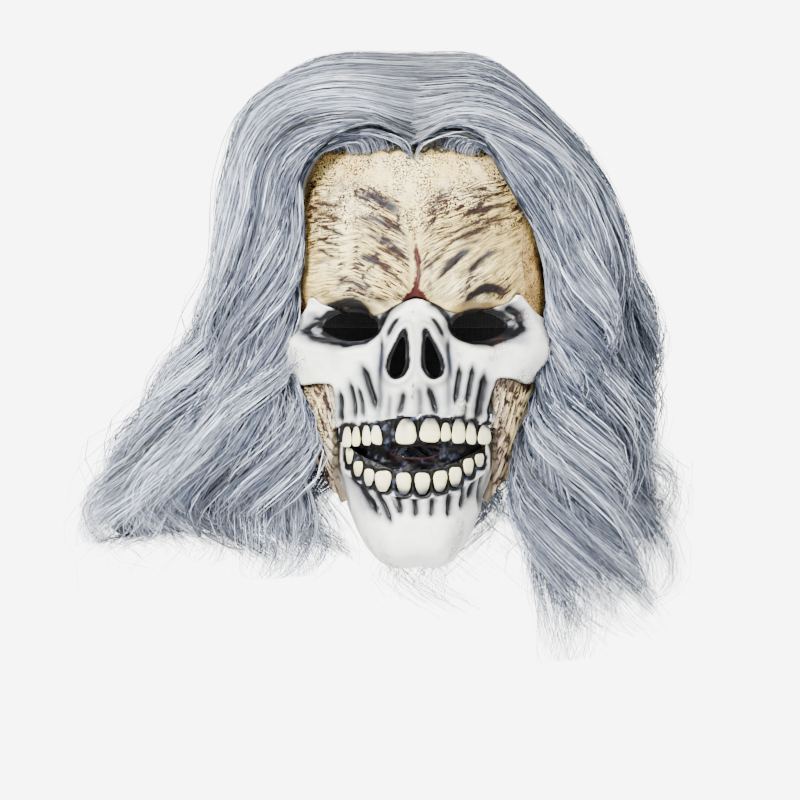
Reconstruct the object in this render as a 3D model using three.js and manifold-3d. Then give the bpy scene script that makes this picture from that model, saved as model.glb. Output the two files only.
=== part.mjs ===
// A latex skull mask with a centre-parted wig, worn on the head. Millimetres.
// Origin in the middle of the wearer's head, level with the eyes.
// The face looks towards -Y, +X is the wearer's left and +Z is up.
import * as THREE from 'three';
import { mergeVertices } from 'three/addons/utils/BufferGeometryUtils.js';
import Module from 'manifold-3d';

const wasm = await Module();
wasm.setup();

// ---- driving dimensions ----
const GAP = 0.5; // between neighbouring pieces
const LATEX = 2.6; // wall of the cast skins
const BONE_LIFT = 1.8; // how proud the bone casting stands of the flesh
const GUM_WALL = 1.6;
const TOOTH_DEPTH = 3.2;
const LINER_DEPTH = 9; // mouth bed behind the face surface
const LINER_WALL = 1.6;
const EYE_X = 35;
const EYE_WIDTH = 30;
const EYE_HEIGHT = 15;
const EYE_Z = -3.5;
const NOSTRIL_X = 8.5;
const NOSTRIL_WIDTH = 9.5;
const NOSTRIL_HEIGHT = 20;
const NOSTRIL_Z = -22;
const NOSTRIL_LEAN = 0.24; // radians, tops towards the midline
const SLIT_WIDTH = 24;
const SLIT_HEIGHT = 5;
const SLIT_Z = -71;
const JAW_SWING = THREE.MathUtils.degToRad(8); // about X, 8 mm ahead of the ear line, z -22
const JAW_CENTRE_Y = -40; // centre of the chin cup's rounded plan
const CAP_CENTRE_Z = 20;
const CAP_RADII = new THREE.Vector3(81, 102, 102);
const CAP_WALL = 1.6;
const CAP_EDGE_FRONT = new THREE.Vector2(-74, 100); // y and z of the cap's rim in front
const CAP_EDGE_BACK = new THREE.Vector2(100, -46);
const ELASTIC_HEIGHT = 8;
const TRACK_HEIGHT = 3;
const TRACK_WALL = 1.4;
const TRACK_OFFSETS = [16, 36, 56, 76]; // above the cap's rim, across it
const STRAP_WALL = 1.6;
const STRAP_HEIGHT = 18;
const STRAP_Z = 6;
const STRAP_RADII = new THREE.Vector2(73.5, 97);
const STRAP_FLAT_Y = STRAP_RADII.y - 5;
const STRAP_END_Y = -38;
const SLIDER_LENGTH = 14;
const SLIDER_WALL = 2.2;
const RIVET_Y = -31;
const RIVET_SHANK = 2;
const RIVET_HEAD = 5;
const RIVET_HEAD_WALL = 1.6;
const PAD_CLEARANCE = 0.6;
const CHIN_PAD_CLEARANCE = LATEX; // more, because the chin's wall slopes
const HAIR_SPLIT_Z = 56; // crown hair above, hanging hair below
const HAIR_SPLIT_FRONT_Y = -46; // loose front falls ahead of this, side hair behind it
const HAIR_SPLIT_BACK_Y = 46;
const HAIR_GAP = 1.2;
const PART_GAP = 0.8; // half the width of the centre parting
const FALL_PIVOT_X = 84;
const FALL_SWING = THREE.MathUtils.degToRad(12);

// Colours of the finishes.
const FLESH = { color: 0xe8d3a0, roughness: 0.55, metalness: 0 };
const BONE = { color: 0xefeee6, roughness: 0.4, metalness: 0 };
const TOOTH = { color: 0xefebc4, roughness: 0.35, metalness: 0 };
const BLACK = { color: 0x1b1c24, roughness: 0.5, metalness: 0 };
const HAIR = { color: 0xa9b0bf, roughness: 0.45, metalness: 0 };
const CLOTH = { color: 0x2a2a2e, roughness: 0.9, metalness: 0 };
const FOAM = { color: 0x3a3a3c, roughness: 0.95, metalness: 0 };
const STEEL = { color: 0xb8bcc2, roughness: 0.3, metalness: 1 };
const NYLON = { color: 0x18181a, roughness: 0.4, metalness: 0 };

// ---- geometry helpers ----

// A closed solid from a geometry's positions, turned so that its faces point out.
function solid(geometry) {
  let bare = geometry.index ? geometry.toNonIndexed() : geometry.clone();
  for (const name of Object.keys(bare.attributes)) {
    if (name !== 'position') bare.deleteAttribute(name);
  }
  bare = mergeVertices(bare, 1e-4);
  const made = new wasm.Manifold(new wasm.Mesh({
    numProp: 3,
    vertProperties: new Float32Array(bare.attributes.position.array),
    triVerts: outward(bare),
  }));
  return made;
}

// The triangles, without the flat ones at poles, wound so that the volume is positive.
function outward(bare) {
  const position = bare.attributes.position;
  const index = bare.index.array;
  const kept = [];
  let volume = 0;
  const [a, b, c] = [new THREE.Vector3(), new THREE.Vector3(), new THREE.Vector3()];
  for (let i = 0; i < index.length; i += 3) {
    const corner = [index[i], index[i + 1], index[i + 2]];
    if (new Set(corner).size < 3) continue;
    kept.push(...corner);
    a.fromBufferAttribute(position, corner[0]);
    b.fromBufferAttribute(position, corner[1]);
    c.fromBufferAttribute(position, corner[2]);
    volume += a.dot(b.cross(c));
  }
  if (volume < 0) {
    for (let i = 0; i < kept.length; i += 3) [kept[i], kept[i + 1]] = [kept[i + 1], kept[i]];
  }
  return new Uint32Array(kept);
}

function mesh(name, body, finish) {
  const { vertProperties, triVerts } = body.getMesh();
  const geometry = new THREE.BufferGeometry();
  geometry.setAttribute('position', new THREE.BufferAttribute(vertProperties, 3));
  geometry.setIndex(new THREE.BufferAttribute(triVerts, 1));
  geometry.computeVertexNormals();
  const made = new THREE.Mesh(geometry, new THREE.MeshStandardMaterial(finish));
  made.name = name;
  return made;
}

function box(low, high) {
  const size = high.map((value, axis) => value - low[axis]);
  const geometry = new THREE.BoxGeometry(...size);
  geometry.translate(...low.map((value, axis) => value + size[axis] / 2));
  return solid(geometry);
}

// A smooth curve through [z, value] pairs that are listed from the top down.
function profile(pairs) {
  const slope = (i) => {
    const [above, below] = [pairs[Math.max(i - 1, 0)], pairs[Math.min(i + 1, pairs.length - 1)]];
    return (below[1] - above[1]) / (below[0] - above[0]);
  };
  return (z) => {
    const at = THREE.MathUtils.clamp(z, pairs.at(-1)[0], pairs[0][0]);
    let i = 0;
    while (i < pairs.length - 2 && at < pairs[i + 1][0]) i += 1;
    const [[z0, v0], [z1, v1]] = [pairs[i], pairs[i + 1]];
    const span = z1 - z0;
    const t = (at - z0) / span;
    const rise = (2 * t ** 3 - 3 * t ** 2 + 1) * v0 + (3 * t ** 2 - 2 * t ** 3) * v1;
    return rise + span * ((t ** 3 - 2 * t ** 2 + t) * slope(i) + (t ** 3 - t ** 2) * slope(i + 1));
  };
}

// A thin solid that follows surface(u, v) -> Vector3 between two lifts along its normal.
function slab(surface, [u0, u1, uSteps], [v0, v1, vSteps], inner, outer) {
  const geometry = new THREE.BoxGeometry(1, 1, 1, uSteps, vSteps, 1);
  const position = geometry.attributes.position;
  const step = 1e-3;
  for (let i = 0; i < position.count; i += 1) {
    const u = u0 + (u1 - u0) * (position.getX(i) + 0.5);
    const v = v0 + (v1 - v0) * (position.getY(i) + 0.5);
    const across = surface(u + step, v).sub(surface(u - step, v));
    const along = surface(u, v + step).sub(surface(u, v - step));
    const lift = position.getZ(i) > 0 ? outer : inner;
    const point = surface(u, v).addScaledVector(across.cross(along).normalize(), lift(u, v));
    position.setXYZ(i, point.x, point.y, point.z);
  }
  return solid(geometry);
}

// The solid inside a surface of rings: CylinderGeometry with each vertex moved to its ring.
function filled(ringPoint, top, bottom, radial, rows) {
  const geometry = new THREE.CylinderGeometry(1, 1, 1, radial, rows);
  const position = geometry.attributes.position;
  for (let i = 0; i < position.count; i += 1) {
    const [x, y, z] = [position.getX(i), position.getY(i), position.getZ(i)];
    const height = bottom + (top - bottom) * (y + 0.5);
    const point = ringPoint(Math.atan2(x, z), height);
    const reach = Math.hypot(x, z) > 0.5 ? 1 : 0;
    position.setXYZ(i, point.x * reach, point.y * reach, height);
  }
  return solid(geometry);
}

// A prism through the head along Y from an outline of [x, z] points.
function prism(points, front = -170, back = 170) {
  const shape = new THREE.Shape(points.map(([x, z]) => new THREE.Vector2(x, z)));
  const geometry = new THREE.ExtrudeGeometry(shape, { depth: back - front, bevelEnabled: false });
  geometry.rotateX(Math.PI / 2);
  geometry.translate(0, back, 0);
  return solid(geometry);
}

// The outline moved outwards by a distance, corner by corner.
function grow(points, distance) {
  const turn = THREE.ShapeUtils.area(points.map(([x, z]) => new THREE.Vector2(x, z))) > 0 ? 1 : -1;
  return points.map(([x, z], i) => {
    const before = points[(i + points.length - 1) % points.length];
    const after = points[(i + 1) % points.length];
    const along = new THREE.Vector2(after[0] - before[0], after[1] - before[1]).normalize();
    return [x + along.y * distance * turn, z - along.x * distance * turn];
  });
}

// A smooth closed outline through a few points.
function smooth(points, steps) {
  const curve = new THREE.CatmullRomCurve3(
    points.map(([x, z]) => new THREE.Vector3(x, z, 0)), true, 'centripetal');
  return curve.getPoints(steps).slice(0, -1).map((point) => [point.x, point.y]);
}

function oval(x, z, width, height, lean = 0, steps = 14) {
  return Array.from({ length: steps }, (_, i) => {
    const angle = (i / steps) * 2 * Math.PI;
    const [a, b] = [(width / 2) * Math.cos(angle), (height / 2) * Math.sin(angle)];
    return [x + a * Math.cos(lean) - b * Math.sin(lean), z + a * Math.sin(lean) + b * Math.cos(lean)];
  });
}

const mirrored = (points) => points.map(([x, z]) => [-x, z]).reverse();
const hill = (value, centre, width) => Math.exp(-(((value - centre) / width) ** 2));

// ---- the head and face surfaces ----

const faceHalfWidth = profile([
  [112, 58], [100, 66], [86, 71], [60, 76], [20, 78], [0, 78], [-20, 76], [-45, 70], [-70, 61],
  [-95, 50], [-120, 40]]);
const faceDepth = profile([
  [112, 58], [100, 74], [86, 88], [60, 100], [20, 106], [4, 103], [-14, 109], [-35, 112],
  [-60, 111], [-85, 109], [-120, 104]]);

// Plan view of the head at height z: a rounded square, angle 0 at the face's midline.
function ring(angle, halfWidth, depth, power) {
  const reach = (Math.abs(Math.sin(angle) / halfWidth) ** power
    + Math.abs(Math.cos(angle) / depth) ** power) ** (-1 / power);
  return new THREE.Vector2(reach * Math.sin(angle), -reach * Math.cos(angle));
}

function facePoint(angle, z) {
  const flat = ring(angle, faceHalfWidth(z), faceDepth(z), 2.6);
  return new THREE.Vector3(flat.x, flat.y, z);
}

// How far the casting stands out of the plain head surface.
function relief(x, z) {
  const side = Math.abs(x);
  const brow = 4 * hill(z, 17, 9) * hill(side, 30, 26);
  const socket = -7 * hill(side, EYE_X, 19) * hill(z, EYE_Z, 11);
  const bridge = 13 * hill(x, 0, 12) * hill(z, -12, 15);
  const cheekbone = 6 * hill(side, 60, 15) * hill(z, -16, 13);
  const muzzle = 2.5 * hill(x, 0, 30) * hill(z, -50, 22);
  return brow + socket + bridge + cheekbone + muzzle;
}

const reliefAt = (angle, z) => relief(facePoint(angle, z).x, z);
const faceLift = (height) => (angle, z) => reliefAt(angle, z) + height;

const jawHalfWidth = profile([
  [-58, 43], [-78, 42.5], [-88, 39.5], [-98, 36], [-108, 33], [-117, 29], [-125, 24], [-131, 17],
  [-133, 11]]);
const jawDepth = profile([
  [-58, 70], [-80, 69], [-95, 67], [-110, 69], [-122, 69], [-129, 62], [-133, 46]]);

function jawPoint(angle, z) {
  const flat = ring(angle, jawHalfWidth(z), jawDepth(z), 3);
  return new THREE.Vector3(flat.x, flat.y + JAW_CENTRE_Y, z);
}

// Outlines seen from the front, as [x, z].
const BONE_EDGE = smooth([
  [0, 10.5], [9, 8], [18, 3], [30, 3], [42, 5], [50, 9], [54.5, 12.5], [61, 4], [69.5, -3],
  [71, -14], [66, -29], [58, -34.5], [50, -32], [42.5, -33], [41.5, -43], [40.5, -55], [31, -56],
  [15, -52.5], [0, -52], [-15, -53.5], [-30, -57.5], [-40, -57], [-41.5, -44], [-43, -36],
  [-50, -34.5], [-60, -34.5], [-68, -24], [-70.5, -13], [-67, -4], [-58, 2], [-54.5, 11], [-49, 7],
  [-42, 4], [-30, 2], [-18, 2], [-9, 7]], 60);
const FOREHEAD_EDGE = smooth([
  [-57, 7], [-58.5, 26], [-60, 52], [-58, 72], [-53, 88], [-40, 98], [0, 102], [38, 99], [51, 88],
  [57, 72], [58, 52], [57, 26], [56, 7], [36, -4], [0, -6], [-36, -4]], 32);
const CHEEK_EDGE = [
  [30, -112], [40, -95], [48.5, -86], [52, -77], [57, -65], [62, -56], [68, -46], [76, -38],
  [86, -32], [86, -12], [50, -12], [36, -30]];
const MOUTH_TOP = -50;
const JAW_TOP = [
  [-60, -66], [-38, -66], [-36.5, -78], [-27, -88], [-14, -93.5], [0, -95], [14, -93.5],
  [27, -87.5], [36.5, -77], [38, -66], [60, -66], [60, -160], [-60, -160]];

const eyeEdge = (side) => oval(side * EYE_X, EYE_Z, EYE_WIDTH, EYE_HEIGHT);
const nostrilEdge = (side) => (
  oval(side * NOSTRIL_X, NOSTRIL_Z, NOSTRIL_WIDTH, NOSTRIL_HEIGHT, side * NOSTRIL_LEAN));
const lowerRow = (x) => -88 + 12.5 * (x / 36) ** 2; // middle of the lower teeth

// ---- face castings ----

function foreheadSkin() {
  let body = slab(facePoint, [-1.0, 1.0, 16], [-12, 104, 11], faceLift(-LATEX), faceLift(0));
  body = body.intersect(prism(FOREHEAD_EDGE));
  body = body.subtract(prism(grow(BONE_EDGE, GAP)));
  for (const side of [-1, 1]) body = body.subtract(prism(eyeEdge(side)));
  return mesh('forehead_skin', body, FLESH);
}

function boneFace() {
  let body = slab(facePoint, [-1.25, 1.25, 24], [-62, 16, 10],
    faceLift(BONE_LIFT - LATEX), faceLift(BONE_LIFT));
  body = body.intersect(prism(BONE_EDGE));
  for (const side of [-1, 1]) {
    body = body.subtract(prism(eyeEdge(side))).subtract(prism(nostrilEdge(side)));
  }
  return mesh('bone_face', body, BONE);
}

const TEMPLE_REAR_Y = -10;

function rivetHole(side) {
  const geometry = new THREE.CylinderGeometry(RIVET_SHANK + GAP, RIVET_SHANK + GAP, 40, 16);
  geometry.rotateZ(Math.PI / 2);
  geometry.translate(side * 70, RIVET_Y, STRAP_Z);
  return solid(geometry);
}

function sideSkin(name, side, low, high, cutters, keep) {
  let body = slab(facePoint, [side * 0.2, side * 1.5, 9], [low, high, 8],
    () => -LATEX, () => 0);
  body = body.intersect(box([-120, -160, -160], [120, TEMPLE_REAR_Y, 160]));
  if (keep) body = body.intersect(prism(side > 0 ? keep : mirrored(keep)));
  for (const cutter of cutters) body = body.subtract(cutter);
  return mesh(name, body, FLESH);
}

const BONE_BLOCK = prism(grow(BONE_EDGE, GAP));
const TEMPLE_LOW = -12;

function templeSkin(name, side) {
  const capClear = ellipsoid(GAP + TRACK_WALL + GAP).intersect(rimBand(-ELASTIC_HEIGHT - 3 * GAP, 300));
  const cutters = [prism(grow(FOREHEAD_EDGE, GAP)), BONE_BLOCK, rivetHole(side), capClear,
    box([-50, -160, -40], [50, 0, 120])];
  return sideSkin(name, side, TEMPLE_LOW, 92, cutters, null);
}

const JAW_SIDE_REACH = 76; // from the pivot forward to where the jaw's sides meet the cheeks

// The space that the jaw sweeps, seen from the front: its outline let down by its travel.
function jawSweep() {
  const travel = JAW_SIDE_REACH * Math.sin(JAW_SWING);
  const edge = [];
  for (let z = -50; z >= -122; z -= 6) {
    edge.push([jawHalfWidth(Math.min(z + travel, -58)) + 1.2, z]);
  }
  edge.push([20, -140]);
  return prism([...edge, ...mirrored(edge)]);
}

function cheekFlesh(name, side) {
  const cutters = [BONE_BLOCK, jawSweep(), box([-38, -160, -64], [38, 0, -10])];
  return sideSkin(name, side, -116, TEMPLE_LOW - GAP, cutters, CHEEK_EDGE);
}

// Teeth: a row of rounded blocks on a thin strip, following a surface.
// Each tooth is [middle x, width, low z, high z].
const UPPER_TEETH = [
  [-36, 4.9, -68.5, -57.5], [-31.2, 4.5, -68, -57.5], [-25.7, 4.8, -67.5, -57], [-20.5, 6, -67, -56.8],
  [-4.8, 11.2, -66.8, -53.2], [7.8, 11, -65.8, -52.8], [16.2, 5.4, -65.2, -55.5],
  [23, 7.4, -66.4, -53.2], [29.6, 5.4, -66.9, -55], [36.8, 7.2, -66.9, -56.5],
];
const LOWER_TEETH = [
  [-34.8, 4, -77.5, -69], [-30.2, 5, -84, -76], [-24.4, 5.4, -89, -80], [-17, 8.8, -92, -81],
  [-6, 8, -93.5, -82], [3.8, 8.2, -93.5, -82], [13.2, 7.4, -92.2, -81], [21.2, 6.6, -89.5, -79],
  [28.2, 5.6, -83.8, -74.5], [34.2, 5, -79, -72]];

const onFace = (lift) => (x, z) => {
  const depth = -faceDepth(z) * (1 - Math.abs(x / faceHalfWidth(z)) ** 2.6) ** (1 / 2.6);
  return new THREE.Vector3(x, depth - relief(x, z) - lift, z);
};
const onJaw = (lift) => (x, z) => {
  const share = Math.min(Math.abs(x / jawHalfWidth(z)), 0.97);
  const depth = JAW_CENTRE_Y - jawDepth(z) * (1 - share ** 3) ** (1 / 3);
  return new THREE.Vector3(x, depth - lift, z);
};

function toothRow(name, teeth, place, strip, clear) {
  let body = strip;
  for (const [middle, width, low, high] of teeth) {
    const geometry = new THREE.BoxGeometry(1, 1, 1, 2, 1, 1);
    const position = geometry.attributes.position;
    for (let i = 0; i < position.count; i += 1) {
      const [u, v, w] = [position.getX(i) * 2, position.getY(i) * 2, position.getZ(i) + 0.5];
      const taper = 1 - 0.12 * Math.abs(v);
      const crown = TOOTH_DEPTH - 0.9 * Math.abs(u);
      const lift = w > 0.5 ? crown : -0.2;
      const point = place(lift)(middle + (u * taper * width) / 2, (low + high) / 2 + (v * (high - low)) / 2);
      position.setXYZ(i, point.x, point.y, point.z);
    }
    body = body.add(solid(geometry));
  }
  return mesh(name, body.subtract(clear), TOOTH);
}

const UPPER_GUM_LIFT = BONE_LIFT - LATEX - 0.2;
const TOOTH_BACK = UPPER_GUM_LIFT + GUM_WALL + GAP;
const LOWER_GUM_LIFT = 0.4;

function strip(place, halfWidth, low, high, inner, outer, steps = 12) {
  const geometry = new THREE.BoxGeometry(1, 1, 1, steps, 1, 1);
  const position = geometry.attributes.position;
  for (let i = 0; i < position.count; i += 1) {
    const x = position.getX(i) * 2 * halfWidth;
    const z = low(x) + (high(x) - low(x)) * (position.getY(i) + 0.5);
    const point = place(position.getZ(i) > 0 ? outer : inner)(x, z);
    position.setXYZ(i, point.x, point.y, point.z);
  }
  return solid(geometry);
}

function upperGum() {
  let body = strip(onFace, 41, () => -69, () => -49, UPPER_GUM_LIFT, UPPER_GUM_LIFT + GUM_WALL);
  body = body.subtract(prism(grow(BONE_EDGE, GAP)));
  return mesh('upper_gum', body, BLACK);
}

function upperTeeth() {
  const backing = strip(onFace, 39.5, () => -63, () => -59.5, TOOTH_BACK, TOOTH_BACK + 0.9);
  const place = (lift) => onFace(lift + TOOTH_BACK + 0.2);
  return toothRow('upper_teeth', UPPER_TEETH, place, backing, BONE_BLOCK);
}

function lowerGum() {
  const body = strip(onJaw, 38, (x) => lowerRow(x) - 7.6, (x) => lowerRow(x) + 7,
    LOWER_GUM_LIFT - GUM_WALL, LOWER_GUM_LIFT);
  return mesh('lower_gum', body.subtract(jawBlock()), BLACK);
}

function lowerTeeth() {
  const inner = LOWER_GUM_LIFT + GAP;
  const backing = strip(onJaw, 35.5, (x) => lowerRow(x) - 1.5, (x) => lowerRow(x) + 2, inner, inner + 0.9);
  return toothRow('lower_teeth', LOWER_TEETH, (lift) => onJaw(lift + inner + 0.2), backing, jawBlock());
}

// ---- jaw ----

const JAW_HEIGHTS = [-66, -133, 11];
const JAW_ANGLES = [-1.55, 1.55, 20];

function jawBone() {
  const body = slab(jawPoint, JAW_ANGLES, JAW_HEIGHTS, () => -LATEX, () => 0);
  return mesh('jaw_bone', body.intersect(prism(JAW_TOP)), BONE);
}

// The jaw casting's own place, grown by the gap, that the strip beside it keeps out of.
function jawBlock() {
  return prism(grow(JAW_TOP, GAP));
}

function mouthBed() {
  let body = strip(onFace, 36, (x) => lowerRow(x) - 3, () => MOUTH_TOP,
    -LINER_DEPTH - LINER_WALL, -LINER_DEPTH);
  body = body.subtract(prism(oval(0, SLIT_Z, SLIT_WIDTH, SLIT_HEIGHT)));
  return mesh('mouth_bed', body.subtract(chinClear()), BLACK);
}

function chinClear() {
  return slab(jawPoint, JAW_ANGLES, [-50, -133, 8], () => -LATEX - GAP, () => 12);
}

function chinPad() {
  const inside = filled((angle, z) => {
    const base = new THREE.Vector3(...ring(angle, jawHalfWidth(z), jawDepth(z), 3).toArray(), 0);
    return base.setLength(base.length() - LATEX - CHIN_PAD_CLEARANCE);
  }, -100, -124, 32, 6);
  const body = box([-17, -75, -122], [17, -52, -104]).intersect(inside).translate(0, JAW_CENTRE_Y, 0);
  return mesh('chin_pad', body, FOAM);
}

function browPad() {
  const inside = filled((angle, z) => {
    const base = facePoint(angle, z).setZ(0);
    const lift = Math.cos(angle) > 0 ? reliefAt(angle, z) : 0;
    return base.setLength(base.length() + Math.min(lift, 0) - LATEX - PAD_CLEARANCE);
  }, 66, 30, 48, 8);
  return mesh('brow_pad', box([-32, -130, 34], [32, -88, 62]).intersect(inside), FOAM);
}

// ---- wig cap ----

function ellipsoid(lift) {
  const geometry = new THREE.SphereGeometry(1, 24, 14);
  geometry.rotateX(Math.PI / 2);
  geometry.scale(CAP_RADII.x + lift, CAP_RADII.y + lift, CAP_RADII.z + lift);
  geometry.translate(0, 0, CAP_CENTRE_Z);
  return solid(geometry);
}

// The band between two planes that lie along the cap's rim, offsets measured square to it.
function rimBand(low, high) {
  const along = CAP_EDGE_BACK.clone().sub(CAP_EDGE_FRONT);
  const geometry = new THREE.BoxGeometry(300, 500, high - low);
  geometry.translate(0, 0, (low + high) / 2);
  geometry.rotateX(Math.atan2(along.y, along.x));
  geometry.translate(0, CAP_EDGE_FRONT.x, CAP_EDGE_FRONT.y);
  return solid(geometry);
}

const capShell = (inner, outer, low, high) => (
  ellipsoid(outer).subtract(ellipsoid(inner)).intersect(rimBand(low, high)));

function wigCap() {
  return mesh('wig_cap', capShell(-CAP_WALL, 0, 0, 200), CLOTH);
}

function capEdgeElastic() {
  const body = capShell(-CAP_WALL, 0.8, -ELASTIC_HEIGHT - GAP, -GAP);
  const frontClear = box([-120, -160, -160], [120, -20, 160]);
  return mesh('cap_edge_elastic', body.subtract(frontClear), CLOTH);
}

function weftTracks() {
  return TRACK_OFFSETS.map((offset, i) => mesh(`weft_track_${i + 1}`,
    capShell(GAP, GAP + TRACK_WALL, offset, offset + TRACK_HEIGHT), CLOTH));
}

const BAND_LIFT = GAP;
const BAND_WALL = 1.4;

function hairlineBand() {
  const body = slab(facePoint, [-0.72, 0.72, 18], [96, 108, 3],
    () => BAND_LIFT, () => BAND_LIFT + BAND_WALL);
  return mesh('hairline_band', body, CLOTH);
}

// The stitching that ties the wig to the latex, a cord in loops along the hairline.
function hairlineStitching() {
  const points = [];
  const loops = 11;
  for (let i = 0; i <= loops * 2; i += 1) {
    const angle = -0.6 + (1.2 * i) / (loops * 2);
    const z = i % 2 ? 91.4 : 88.4;
    const base = facePoint(angle, z);
    const out = new THREE.Vector3(Math.sin(angle), -Math.cos(angle), 0);
    points.push(base.addScaledVector(out, 2.2));
  }
  const section = new THREE.Shape(oval(0, 0, 1.6, 1.6, 0, 5).map(([x, y]) => new THREE.Vector2(x, y)));
  const geometry = new THREE.ExtrudeGeometry(section, {
    steps: 44, bevelEnabled: false, extrudePath: new THREE.CatmullRomCurve3(points) });
  return mesh('hairline_stitching', solid(geometry), BLACK);
}

// ---- strap and its fittings ----

// Half of the strap's route in plan, from the temple to the flat at the back.
function strapRoute(lift) {
  const [a, b] = [STRAP_RADII.x + lift, STRAP_RADII.y + lift];
  const points = [];
  const steps = 10;
  const from = Math.asin(STRAP_END_Y / b);
  const to = Math.asin((STRAP_FLAT_Y + lift) / b);
  for (let i = 0; i <= steps; i += 1) {
    const angle = from + ((to - from) * i) / steps;
    points.push([a * Math.cos(angle), b * Math.sin(angle)]);
  }
  return points;
}

function headStrap() {
  const outer = strapRoute(0);
  const inner = strapRoute(-STRAP_WALL);
  const left = (points) => points.map(([x, y]) => [-x, y]).reverse();
  const outline = [...outer, ...left(outer), ...inner.map(([x, y]) => [-x, y]), ...inner.slice().reverse()];
  const shape = new THREE.Shape(outline.map(([x, y]) => new THREE.Vector2(x, y)));
  const geometry = new THREE.ExtrudeGeometry(shape, { depth: STRAP_HEIGHT, bevelEnabled: false });
  geometry.translate(0, 0, STRAP_Z - STRAP_HEIGHT / 2);
  let body = solid(geometry);
  for (const side of [-1, 1]) body = body.subtract(rivetHole(side));
  return mesh('head_strap', body, CLOTH);
}

function strapSlider() {
  const half = SLIDER_LENGTH / 2;
  const tall = STRAP_HEIGHT / 2 + GAP + SLIDER_WALL;
  const back = STRAP_FLAT_Y - STRAP_WALL - GAP - SLIDER_WALL;
  const front = STRAP_FLAT_Y + GAP + SLIDER_WALL;
  let body = box([-half, back, STRAP_Z - tall], [half, front, STRAP_Z + tall]);
  body = body.subtract(box(
    [-half - 1, back + SLIDER_WALL, STRAP_Z - tall + SLIDER_WALL],
    [half + 1, front - SLIDER_WALL, STRAP_Z + tall - SLIDER_WALL]));
  for (const x of [-half / 2, half / 2]) {
    body = body.subtract(box([x - 1.4, back - 1, STRAP_Z - 7], [x + 1.4, back + SLIDER_WALL + 0.2, STRAP_Z + 7]));
  }
  return mesh('strap_slider', body, NYLON);
}

const skinOuterX = (() => {
  let best = 0;
  for (let angle = 0.6; angle < 1.5; angle += 0.005) {
    const point = facePoint(angle, STRAP_Z);
    if (point.y < RIVET_Y + RIVET_HEAD) best = Math.max(best, point.x);
  }
  return best;
})();

const strapInnerX = Math.min(...strapRoute(-STRAP_WALL)
  .filter(([, y]) => Math.abs(y - RIVET_Y) < RIVET_HEAD * 2).map(([x]) => x));

const WASHER_WALL = 1;
const RIVET_TAIL_WALL = 1;

function rivet(name, side) {
  const head = skinOuterX + GAP;
  const tail = strapInnerX - GAP - WASHER_WALL - GAP;
  const outline = [
    [0, tail - RIVET_TAIL_WALL], [RIVET_SHANK + 1.2, tail - RIVET_TAIL_WALL], [RIVET_SHANK + 1.2, tail],
    [RIVET_SHANK, tail], [RIVET_SHANK, head], [RIVET_HEAD, head], [RIVET_HEAD * 0.8, head + RIVET_HEAD_WALL * 0.7],
    [0, head + RIVET_HEAD_WALL]];
  const geometry = new THREE.LatheGeometry(outline.map(([r, x]) => new THREE.Vector2(r, x)), 12);
  geometry.rotateZ((-side * Math.PI) / 2);
  geometry.translate(0, RIVET_Y, STRAP_Z);
  return mesh(name, solid(geometry), STEEL);
}

function rivetWasher(name, side) {
  const [low, high] = [strapInnerX - GAP - WASHER_WALL, strapInnerX - GAP];
  const [bore, rim] = [RIVET_SHANK + 0.4, RIVET_HEAD * 0.9];
  const ringOutline = [[bore, low], [rim, low], [rim, high], [bore, high], [bore, low]];
  const geometry = new THREE.LatheGeometry(ringOutline.map(([r, x]) => new THREE.Vector2(r, x)), 12);
  geometry.rotateZ((-side * Math.PI) / 2);
  geometry.translate(0, RIVET_Y, STRAP_Z);
  return mesh(name, solid(geometry), STEEL);
}

// ---- hair ----

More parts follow.
